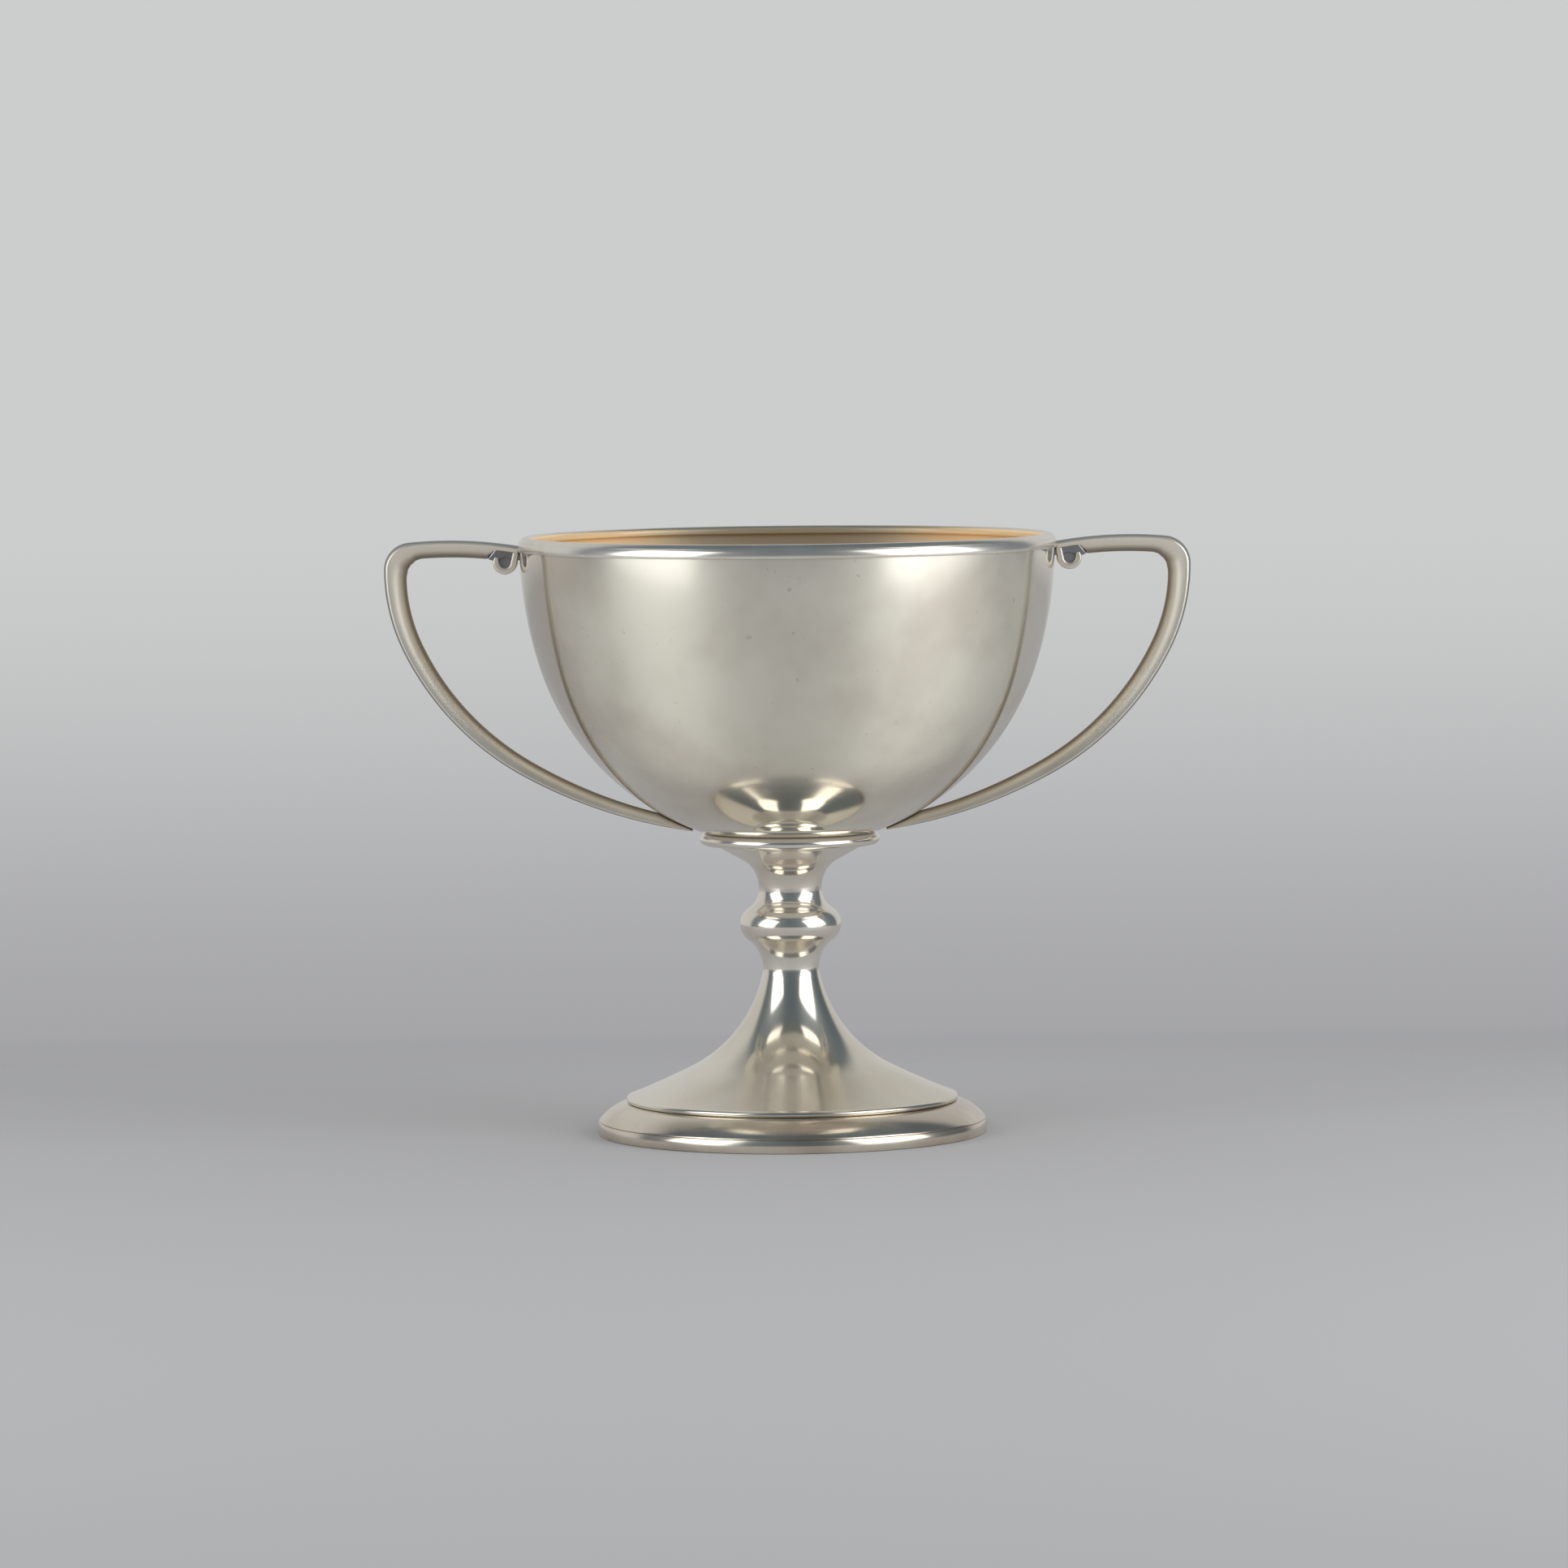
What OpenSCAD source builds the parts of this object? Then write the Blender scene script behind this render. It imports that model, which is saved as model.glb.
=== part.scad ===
// Silver loving cup: a round bowl on a turned stem and a hollow trumpet foot.
// Origin at the middle of the base underside, X through both handles, Z up, millimetres.

/* [Base] */
// widest radius of the base wire
wire_r = 51.5; // [50.8:0.1:53]
// inner radius of the base wire
wire_in_r = 46.8; // [46:0.1:47.2]
// height of the base wire
wire_h = 4.8; // [4.4:0.1:5.2]
// radius of the wire's rounded outer face
wire_face_r = 3.6; // [3.2:0.05:4]
// rise of the crowned band from the wire to the step
band_h = 3.6; // [3.2:0.1:4.2]
// radius of the rounded outside of the band
band_crown_r = 9; // [8.5:0.5:14]
// thickness of the band's sheet
band_t = 1.2; // [1:0.1:1.4]
// upright edge left at the band's outer rim
band_edge = 0.4; // [0.3:0.05:0.6]
// set-back of the band on the wire, and of the foot on the band
base_step = 0.15; // [0.1:0.01:0.25]

/* [Foot] */
// radius of the foot at its step
foot_r = 43.8; // [42.5:0.1:45]
// height of the foot's edge above the band
foot_edge = 1.3; // [1:0.1:1.6]
// gap under the bead on the foot's edge
lip_gap = 0.12; // [0.08:0.01:0.16]
// sheet thickness of the foot
foot_wall = 1.2; // [0.9:0.1:1.3]
// width of the flat seat under the foot's edge
foot_land = 2.4; // [2:0.1:3]
// radius of the short curve under the lower neck
foot_neck_arc = 10; // [8:0.5:14]
// turn of that short curve, degrees
foot_neck_turn = 13; // [10:0.5:16]
// radius of the main sweep of the foot
foot_sweep_arc = 36; // [34:0.5:38]
// heading where the main sweep ends, degrees from upright
foot_sweep_turn = 63; // [60:0.5:65]
// radius of the flat outer flare
foot_flare_arc = 200; // [150:5:300]

/* [Knop] */
// radius of the stem where knop and foot meet
low_neck_r = 7.45; // [7:0.05:8]
// radius of the stem where collar and knop meet
high_neck_r = 8.35; // [8:0.05:9]
// widest radius of the knop's ring
ring_r = 13.35; // [12.8:0.05:14]
// radius of the ring's rounding
ring_tube = 5; // [4.6:0.05:5.3]
// radius of the hollow under the ring
low_cove_r = 9; // [8:0.25:10]
// radius of the hollow over the ring
high_cove_r = 5.7; // [5:0.1:6.5]
// straight length at the top of the knop
knop_land = 0.8; // [0.4:0.1:1.5]
// radius of the hole through the knop
knop_bore_r = 2.8; // [2.7:0.05:3.4]

/* [Collar] */
// radius of the collar's disc
collar_r = 23.7; // [23:0.1:24]
// thickness of the disc's rounded edge
collar_edge = 2.9; // [2.4:0.1:3.2]
// height of the disc's underside over the knop
collar_rise = 11.3; // [11:0.1:11.8]
// radius of the hollow under the disc
collar_cove_r = 8.3; // [7.8:0.1:8.8]
// turn of that hollow, degrees from upright
collar_cove_turn = 57; // [54:0.5:60]
// height of the bowl's lowest point over the knop
collar_seat = 10.7; // [10.3:0.1:11]

/* [Bowl] */
// outer radius of the bowl's round lower part
bowl_r = 68.6; // [67.8:0.1:69.2]
// wall thickness of the bowl
bowl_wall = 1.0; // [0.9:0.05:1.2]
// radius of the straighter upper wall
bowl_flare_r = 105; // [98:1:115]
// angle below the bowl's centre where the upper wall starts, degrees
bowl_flare_start = 18.3; // [16:0.1:20]
// height of the wall's top over the bowl's centre
bowl_rise = 12.4; // [11:0.1:13.5]
// gap filled by solder between seated pieces
solder = 0.05; // [0.03:0.01:0.1]

/* [Rim] */
// outside height of the rim wire
rim_h = 3.8; // [3.2:0.1:4.2]
// inside height of the rim wire
rim_lip_h = 2.2; // [1.8:0.1:2.6]
// height of the wire over the top of the bowl's wall
rim_cover = 1.2; // [1:0.1:1.5]
// how far the wire stands out from the wall
rim_proud = 0.45; // [0.35:0.05:0.7]
// how far the wire stands in from the wall
rim_inset = 1.75; // [1.5:0.05:2]
// rounding of the wire's two top edges
rim_round = 1.3; // [0.8:0.05:1.4]

/* [Handles] */
// drop of the handle's top under the rim, at the bowl
handle_drop = 2.3; // [2:0.1:2.7]
// clearance between handle and rim wire, filled by solder
handle_gap = 0.12; // [0.1:0.01:0.2]
// rise of the bar as it leaves the bowl, degrees
bar_lift = 9.6; // [8:0.1:11]
// fall of the bar where the corner starts, degrees
bar_fall = 5.2; // [4:0.1:6]
// crown radius of the top bar
bar_crown = 111; // [108:0.5:114]
// outer radius of the corner
corner_r = 7.2; // [6.9:0.1:8]
// radius of the curve under the corner
upper_arc = 50; // [48:0.5:52]
// turn of that curve, degrees
upper_turn = 26.4; // [26:0.1:27]
// radius of the middle curve
middle_arc = 76; // [75:0.5:77]
// turn of that curve, degrees
middle_turn = 34.8; // [34.5:0.1:35.2]
// radius of the lower curve that runs in to the bowl
lower_arc = 128.5; // [126:0.5:131]
// depth of the strap over the scroll
strap_t = 1.8; // [1.5:0.1:1.9]
// length of the strap from the bowl
strap_len = 5.3; // [5.1:0.1:5.6]
// length over which the strap thickens into the bar
strap_ramp = 2; // [1.8:0.1:2.4]
// depth of the bar
bar_t = 4.4; // [4:0.1:4.8]
// depth of the handle under its corner
shoulder_t = 5.8; // [5.2:0.1:6]
// length under the corner over which the handle deepens
shoulder_run = 4; // [3:0.5:6]
// depth where the lower curve begins
waist_t = 4.4; // [4:0.1:4.8]
// depth where the handle meets the bowl
heel_t = 3; // [2.7:0.1:3.4]
// depth of the pointed end
tip_t = 0.6; // [0.5:0.05:0.8]
// width of the bar from front to back
bar_w = 7.6; // [6.8:0.1:8.4]
// width where the lower curve begins
waist_w = 6.2; // [5.5:0.1:6.8]
// width of the pointed end
tip_w = 2.4; // [2:0.1:3]
// how square the oval section is, 2 for a plain oval
squareness = 2.7; // [2.2:0.1:3.2]

/* [Scrolls] */
// outer radius of the scroll
scroll_r = 3.3; // [3.1:0.05:3.4]
// how far the scroll stands out from its stem
scroll_out = 0.4; // [0.2:0.05:0.5]
// radius of the scroll's sunk eye
scroll_eye_r = 1.75; // [1.5:0.05:1.9]
// width of the scroll from front to back
scroll_w = 6.4; // [6:0.1:6.6]
// crown of the scroll's rounded outer face
scroll_crown = 0.6; // [0.4:0.05:0.8]
// depth of the sunk eye on each side
scroll_sink = 1; // [0.7:0.1:1.4]
// thickness of the scroll's stem against the bowl
scroll_stem = 1.3; // [1:0.1:1.5]
// place of the scroll's free end, degrees above the level
scroll_end = 30; // [25:1:34]
// drop of the scroll's centre under the rim wire
scroll_drop = 2.65; // [2.55:0.05:2.8]
// clearance between scroll and bowl
scroll_gap = 0.08; // [0.06:0.01:0.15]

/* [Inner fixing] */
// radius of the boss under the bowl
boss_r = 6.3; // [5.8:0.1:6.5]
// height of the boss's lower face over the knop
boss_lift = 1.5; // [1:0.1:2]
// radial clearance of the boss in the collar
boss_clear = 0.1; // [0.08:0.01:0.15]
// radius of the tie rod
rod_r = 2.5; // [2.3:0.05:2.5]
// radial clearance of the rod in its threads
thread_clear = 0.06; // [0.05:0.01:0.1]
// depth of the rod in the boss
rod_grip = 6; // [5:0.1:6.5]
// drop of the washer's top under the lower neck
washer_drop = 11; // [10:0.1:12.5]
// clearance of the washer in the foot and on the rod
washer_clear = 0.1; // [0.08:0.01:0.2]
// thickness of the washer
washer_t = 1.6; // [1.2:0.1:2]
// nut size across its flats
nut_flats = 8; // [8:0.1:8.5]
// height of the nut
nut_h = 4; // [3.5:0.1:5]
// length of the rod under the nut
rod_tail = 1.6; // [1:0.1:3]

/* [Hidden] */
$fn = 96;
big = 200;
hair = 0.005;
silver = [0.83, 0.81, 0.77];
steel = [0.55, 0.56, 0.58];

// base
wire_c = wire_r - wire_face_r;
wire_top_r = wire_c + sqrt(pow(wire_face_r, 2) - pow(wire_h / 2, 2));
band_r = wire_top_r - base_step;
band_top = wire_h + band_h;
step_r = foot_r + base_step;

// foot: headings from upright, then the ends of its three curves
sweep_r = low_neck_r + foot_neck_arc * (1 - cos(foot_neck_turn));
flare_r = sweep_r + foot_sweep_arc * (cos(foot_neck_turn) - cos(foot_sweep_turn));
edge_turn = acos(cos(foot_sweep_turn) - (foot_r - flare_r) / foot_flare_arc);
foot_top = band_top + foot_edge;
flare_z = foot_top + foot_flare_arc * (sin(edge_turn) - sin(foot_sweep_turn));
sweep_z = flare_z + foot_sweep_arc * (sin(foot_sweep_turn) - sin(foot_neck_turn));
neck_z = sweep_z + foot_neck_arc * sin(foot_neck_turn);
neck_c = [low_neck_r + foot_neck_arc, neck_z];
sweep_c = [sweep_r + foot_sweep_arc * cos(foot_neck_turn),
    sweep_z + foot_sweep_arc * sin(foot_neck_turn)];
outer_c = [flare_r + foot_flare_arc * cos(foot_sweep_turn),
    flare_z + foot_flare_arc * sin(foot_sweep_turn)];
land_in = foot_r - foot_land + 0.2;
lip_r = foot_edge / 2 + 0.15;

// knop: hollows meet the ring where their circles touch
ring_c = ring_r - ring_tube;
low_c = low_neck_r + low_cove_r;
high_c = high_neck_r + high_cove_r;
ring_z = neck_z + sqrt(pow(low_cove_r + ring_tube, 2) - pow(low_c - ring_c, 2));
high_z = ring_z + sqrt(pow(high_cove_r + ring_tube, 2) - pow(high_c - ring_c, 2));
low_touch = [ring_c, ring_z]
    + [low_c - ring_c, neck_z - ring_z] * ring_tube / (low_cove_r + ring_tube);
high_touch = [ring_c, ring_z]
    + [high_c - ring_c, high_z - ring_z] * ring_tube / (high_cove_r + ring_tube);
knop_top = high_z + knop_land;

// collar
disc_z = knop_top + collar_rise;
cove_c = high_neck_r + collar_cove_r;
cove_end = [cove_c - collar_cove_r * cos(collar_cove_turn),
    knop_top + collar_cove_r * sin(collar_cove_turn)];
cone_r = cove_end[0] + (disc_z - cove_end[1]) / tan(86 - collar_cove_turn);

// bowl and rim
bowl_z = knop_top + collar_seat + bowl_r;
wall_top = bowl_z + bowl_rise;
flare_x = (bowl_r - bowl_flare_r) * cos(bowl_flare_start);
mouth_z = bowl_z + (bowl_flare_r - bowl_r) * sin(bowl_flare_start);
mouth_r = flare_x + bowl_flare_r;
rim_top = wall_top + rim_cover;
rim_z = rim_top - rim_h;
rim_out = mouth_r + rim_proud;
rim_in = mouth_r - bowl_wall - rim_inset;

// handle: its outer edge as five tangent curves, headings in degrees below the outward level
head = [-bar_lift, bar_fall, 90, 90 + upper_turn, 90 + upper_turn + middle_turn];
edge0 = [rim_out + handle_gap, rim_top - handle_drop];
edge1 = along(edge0, bar_crown, head[0], head[1]);
edge2 = along(edge1, corner_r, head[1], head[2]);
edge3 = along(edge2, upper_arc, head[2], head[3]);
edge4 = along(edge3, middle_arc, head[3], head[4]);
lower_c = edge4 - lower_arc * [sin(head[4]), cos(head[4])];
to_bowl = [0, bowl_z] - lower_c;
seat_r = bowl_r + handle_gap;
tip_cos = (pow(lower_arc, 2) + to_bowl * to_bowl - pow(seat_r + tip_t, 2)) / (2 * lower_arc * norm(to_bowl));
tip_head = (atan2(to_bowl[0], to_bowl[1]) + 360) % 360 - acos(tip_cos);
len1 = arc_len(bar_crown, head[1] - head[0]);
len2 = len1 + arc_len(corner_r, head[2] - head[1]);
len3 = len2 + arc_len(upper_arc, upper_turn);
len4 = len3 + arc_len(middle_arc, middle_turn);
len5 = len4 + arc_len(lower_arc, tip_head - head[4]);
strap_end = strap_len + strap_ramp;
depths = [[0, strap_t], [strap_len, strap_t], [strap_len + strap_ramp / 2, (strap_t + bar_t) / 2 + 0.3],
    [strap_end, bar_t], [len1, bar_t], [len2 + shoulder_run, shoulder_t], [len4, waist_t], [len5, heel_t]];
widths = [[0, bar_w], [len3, bar_w], [len4, waist_w], [len5, tip_w]];
stations = concat(
    steps(edge0, bar_crown, head[0], head[1], 0, 24),
    steps(edge1, corner_r, head[1], head[2], len1, 12),
    steps(edge2, upper_arc, head[2], head[3], len2, 8),
    steps(edge3, middle_arc, head[3], head[4], len3, 12),
    steps(edge4, lower_arc, head[4], tip_head, len4, 18),
    [[along(edge4, lower_arc, head[4], tip_head), tip_head, len5]]);
ring_n = 24;

// inner fixing
boss_z = knop_top + boss_lift;
washer_top = neck_z - washer_drop;
nut_top = washer_top - washer_t;
rod_low = nut_top - nut_h - rod_tail;

// length of a curve of radius r that turns by a degrees
function arc_len(r, a) = r * a * PI / 180;

// end of a curve that starts at p with heading h0 and turns to heading h
function along(p, r, h0, h) = p + r * [sin(h) - sin(h0), cos(h) - cos(h0)];

// points along one curve of the handle: place, heading and length so far
function steps(p, r, h0, h1, s0, n) =
    [for (k = [0 : n - 1]) let (h = h0 + (h1 - h0) * k / n) [along(p, r, h0, h), h, s0 + arc_len(r, h - h0)]];

// distance from the handle's outer edge to the bowl along the edge's inward normal
function bowl_gap(p, n) = let (q = p - [0, bowl_z], b = q * n, d = b * b - q * q + seat_r * seat_r)
    d > 0 ? -b - sqrt(d) : big;

// depth of the handle at a station: its own, or what fits against the bowl
function depth_at(p, n, s) = let (g = bowl_gap(p, n)) min(lookup(s, depths), g > 0 ? g : big);

// point on the underside of the top bar, at a length from the bowl
function under_bar(s) = let (h = head[0] + s / arc_len(bar_crown, 1))
    along(edge0, bar_crown, head[0], h) - lookup(s, depths) * [sin(h), cos(h)];

// flattens the side of an oval: the height of a point on it, from -1 to 1
function squared(v) = sign(v) * pow(abs(v), 2 / squareness);

// one outline of the handle: an oval with flattened sides
function outline(p, n, t, w) = [for (k = [0 : ring_n - 1])
    let (a = 360 * k / ring_n, d = t / 2 * (1 - squared(sin(a))))
    [p[0] + n[0] * d, w / 2 * squared(cos(a)), p[1] + n[1] * d]];

// rectangle between two corners
module box2(a, b) {
    translate(a) square(b - a);
}

// disc at a place
module disc2(c, r) {
    translate(c) circle(r = r);
}

// half-section of the foot's solid form, set in from its outside by t
module trumpet(t) {
    difference() {
        box2([0, band_top], [t > 0 ? foot_r - foot_land : foot_r, neck_z]);
        disc2(neck_c, foot_neck_arc + t + hair);
        trumpet_cut(sweep_c, foot_sweep_arc + t + hair / 2, foot_neck_turn, neck_c[0]);
        trumpet_cut(outer_c, foot_flare_arc + t, foot_sweep_turn, sweep_c[0]);
    }
}

// what one curve of the foot takes off below its start, with all that lies outside it
module trumpet_cut(c, r, h, out) {
    top = c[1] - r * sin(h);
    intersection() {
        translate(c) circle(r = r, $fn = 720);
        box2([0, 0], [big, top]);
    }
    box2([out, top - 0.1], [big, big]);
}

// half-section of the bowl's solid form, set in from its outside by t
module bowl_form(t) {
    join_z = bowl_z - (bowl_r - t) * sin(bowl_flare_start);
    intersection() {
        union() {
            translate([0, bowl_z]) circle(r = bowl_r - t, $fn = 360);
            intersection() {
                translate([flare_x, mouth_z]) circle(r = bowl_flare_r - t - hair, $fn = 720);
                box2([0, join_z], [big, big]);
            }
        }
        box2([0, 0], [big, wall_top]);
    }
}

module bowl() {
    color(silver) rotate_extrude() difference() {
        bowl_form(0);
        bowl_form(bowl_wall);
    }
}

module rim_wire() {
    slot_in = mouth_r - bowl_wall - solder - 0.03;
    color(silver) rotate_extrude() difference() {
        union() {
            box2([rim_in, rim_z], [rim_out, rim_top - rim_round]);
            box2([rim_in + rim_round, rim_top - rim_round], [rim_out - rim_round, rim_top]);
            intersection() {
                disc2([rim_in + rim_round, rim_top - rim_round], rim_round);
                box2([rim_in - 1, rim_top - rim_round], [rim_in + rim_round, rim_top + 1]);
            }
            intersection() {
                disc2([rim_out - rim_round, rim_top - rim_round], rim_round);
                box2([rim_out - rim_round, rim_top - rim_round], [rim_out + 1, rim_top + 1]);
            }
        }
        box2([slot_in, rim_z - 1], [mouth_r + solder, wall_top]);
        box2([rim_in - 1, rim_z - 1], [slot_in + 0.1, rim_top - rim_lip_h]);
    }
}

module bowl_boss() {
    color(steel) difference() {
        translate([0, 0, boss_z]) cylinder(r = boss_r, h = collar_seat);
        translate([0, 0, bowl_z]) sphere(r = bowl_r + solder);
        translate([0, 0, boss_z - 1]) cylinder(r = rod_r + thread_clear, h = rod_grip + 1.6);
    }
}

module collar() {
    bore = boss_r + boss_clear;
    color(silver) rotate_extrude() difference() {
        union() {
            difference() {
                polygon([[bore, knop_top], [high_neck_r, knop_top], cove_end, [cone_r, disc_z],
                    [cone_r, disc_z + 1], [bore, disc_z + 1]]);
                intersection() {
                    disc2([cove_c, knop_top], collar_cove_r);
                    box2([high_neck_r - 0.01, knop_top], [cove_c, cove_end[1]]);
                }
            }
            box2([bore, disc_z], [collar_r - collar_edge / 2, disc_z + collar_edge]);
            intersection() {
                disc2([collar_r - collar_edge / 2, disc_z + collar_edge / 2], collar_edge / 2);
                box2([collar_r - collar_edge / 2, disc_z - 1], [collar_r + 1, disc_z + collar_edge + 1]);
            }
        }
        disc2([0, bowl_z], bowl_r + solder);
    }
}

module knop() {
    color(silver) rotate_extrude() {
        box2([knop_bore_r, neck_z], [low_neck_r - 0.2, knop_top]);
        intersection() {
            disc2([ring_c, ring_z], ring_tube);
            box2([knop_bore_r, neck_z], [big, knop_top]);
        }
        difference() {
            box2([knop_bore_r, neck_z], low_touch);
            disc2([low_c, neck_z], low_cove_r + hair);
        }
        difference() {
            box2([knop_bore_r, high_touch[1]], [high_touch[0], knop_top]);
            disc2([high_c, high_z], high_cove_r + hair);
            box2([high_neck_r, high_z], [big, big]);
        }
    }
}

module foot() {
    color(silver) rotate_extrude() {
        difference() {
            trumpet(0);
            trumpet(foot_wall);
            box2([foot_r - lip_r, 0], [big, neck_z]);
        }
        disc2([foot_r - lip_r, band_top + lip_gap + lip_r], lip_r);
    }
}

module base_band() {
    outer = [band_r, wire_h + band_edge];
    inner = [step_r, band_top];
    run = outer - inner;
    down = [run[1], -run[0]] / norm(run);
    crown = (outer + inner) / 2 + down * sqrt(pow(band_crown_r, 2) - pow(norm(run) / 2, 2));
    color(silver) rotate_extrude() {
        difference() {
            intersection() {
                disc2(crown, band_crown_r);
                box2([land_in, wire_h], [band_r, band_top]);
            }
            disc2(crown, band_crown_r - band_t);
        }
        box2([land_in, band_top - band_t + 0.2], [step_r - 0.2, band_top]);
    }
}

module base_wire() {
    color(silver) rotate_extrude() {
        box2([wire_in_r, 0], [wire_c, wire_h]);
        intersection() {
            disc2([wire_c, wire_h / 2], wire_face_r);
            box2([wire_c, 0], [wire_r + 1, wire_h]);
        }
    }
}

module handle() {
    last = len(stations) - 1;
    rings = [for (i = [0 : last]) let (st = stations[i], n = [-sin(st[1]), -cos(st[1])],
        t = i == last ? tip_t : depth_at(st[0], n, st[2]))
        outline(st[0], n, t, lookup(st[2], widths))];
    sides = [for (i = [0 : last - 1], j = [0 : ring_n - 1]) let (a = i * ring_n + j,
        b = i * ring_n + (j + 1) % ring_n) each [[a, a + ring_n, b + ring_n], [a, b + ring_n, b]]];
    polyhedron(
        points = [for (r = rings) each r],
        faces = concat(sides, [[for (j = [0 : ring_n - 1]) j]],
            [[for (j = [ring_n - 1 : -1 : 0]) last * ring_n + j]]),
        convexity = 6);
}

module left_handle() {
    color(silver) mirror([1, 0, 0]) handle();
}

module right_handle() {
    color(silver) handle();
}

module scroll() {
    x = mouth_r + scroll_gap;
    z = rim_z - scroll_drop;
    top = edge0[1] - strap_t - 0.2;
    c = [x + scroll_out + scroll_r, z];
    face_r = pow(scroll_w / 2, 2) / (2 * scroll_crown) + scroll_crown / 2;
    difference() {
        translate([c[0], 0, z]) rotate([90, 0, 0]) rotate_extrude() intersection() {
            box2([scroll_eye_r, -scroll_w / 2], [scroll_r, scroll_w / 2]);
            disc2([scroll_r - face_r, 0], face_r);
        }
        rotate([90, 0, 0]) linear_extrude(height = 2 * scroll_w, center = true)
            polygon([c, c + 9 * [cos(scroll_end), sin(scroll_end)], c + [4, 12],
                [x + scroll_out + scroll_stem, top + 6], [x + scroll_out + scroll_stem, z + scroll_eye_r]]);
    }
    rotate([90, 0, 0]) linear_extrude(height = scroll_w - 2 * scroll_crown, center = true)
        box2([x, z], [x + scroll_out + scroll_stem, top]);
    rotate([90, 0, 0]) linear_extrude(height = scroll_w - 2 * scroll_sink, center = true) {
        disc2(c, scroll_eye_r + 0.3);
        polygon([[x + 0.5, z], [x + 0.5, top], under_bar(1.5) - [0, 0.15], under_bar(strap_len) - [0.1, 0.15],
            under_bar(strap_len + strap_ramp / 2) - [0.2, 0.1], under_bar(strap_end) - [0.35, 0.1],
            [c[0] + scroll_r - 0.3, z]]);
    }
}

module left_scroll() {
    color(silver) mirror([1, 0, 0]) scroll();
}

module right_scroll() {
    color(silver) scroll();
}

module tie_rod() {
    color(steel) translate([0, 0, rod_low]) cylinder(r = rod_r, h = boss_z + rod_grip - rod_low);
}

module washer() {
    color(steel) rotate_extrude() intersection() {
        trumpet(foot_wall + washer_clear);
        box2([rod_r + washer_clear, nut_top], [big, washer_top]);
    }
}

module nut() {
    color(steel) translate([0, 0, nut_top - nut_h]) difference() {
        cylinder(r = nut_flats / sqrt(3), h = nut_h, $fn = 6);
        translate([0, 0, -1]) cylinder(r = rod_r + thread_clear, h = nut_h + 2);
    }
}

bowl();
rim_wire();
bowl_boss();
collar();
knop();
foot();
base_band();
base_wire();
left_handle();
right_handle();
left_scroll();
right_scroll();
tie_rod();
washer();
nut();
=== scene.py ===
"""Silver loving cup: a gilt-lined bowl with scroll-ended handles on a turned stem and a stepped foot."""

import logging
import math
from collections.abc import Iterable, Sequence
from dataclasses import dataclass, field
from enum import Enum

import bmesh
import bpy
from mathutils import Matrix, Quaternion, Vector


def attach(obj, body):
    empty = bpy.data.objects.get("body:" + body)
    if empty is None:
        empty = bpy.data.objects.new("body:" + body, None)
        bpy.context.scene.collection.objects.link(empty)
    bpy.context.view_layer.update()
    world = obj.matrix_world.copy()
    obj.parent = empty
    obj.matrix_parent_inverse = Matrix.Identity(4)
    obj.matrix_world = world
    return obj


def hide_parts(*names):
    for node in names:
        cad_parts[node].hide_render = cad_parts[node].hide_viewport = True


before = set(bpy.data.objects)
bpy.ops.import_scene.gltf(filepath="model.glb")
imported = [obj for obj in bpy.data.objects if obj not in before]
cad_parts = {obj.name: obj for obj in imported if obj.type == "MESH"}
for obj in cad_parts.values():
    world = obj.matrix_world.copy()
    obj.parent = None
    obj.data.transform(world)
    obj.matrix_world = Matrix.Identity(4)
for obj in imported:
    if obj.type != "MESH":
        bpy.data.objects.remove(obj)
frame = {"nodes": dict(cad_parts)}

LOG = logging.getLogger("loving_cup")
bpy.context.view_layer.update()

# One millimetre in metres, limits in millimetres, and the angles in degrees past which an edge stays sharp
MM = 0.001
ON_AXIS = 1e-6
SAME_POINT = 1e-4
UNCUT = 99.0
TURNED_EDGE = 32.0
SWEPT_EDGE = 60.0
PLATE_EDGE = 30.0
NUT_EDGE = 18.0

BODY = "root"
Point = tuple[float, float]
Place = tuple[float, float, float]
Colour = tuple[float, float, float]

# Sizes in millimetres that several sub-assemblies share: the stem's neck, and the bowl's radius and centre
NECK: Point = (7.45, 43.755)
BOWL_R = 68.6
BOWL_Z = 144.329


class Side(Enum):
    """The two sides of the cup, by the sign of X."""

    LEFT = -1
    RIGHT = 1


class Lamp(Enum):
    """The studio's soft boxes."""

    LEFT = "left_softbox"
    RIGHT = "right_softbox"


# Node helpers


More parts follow.
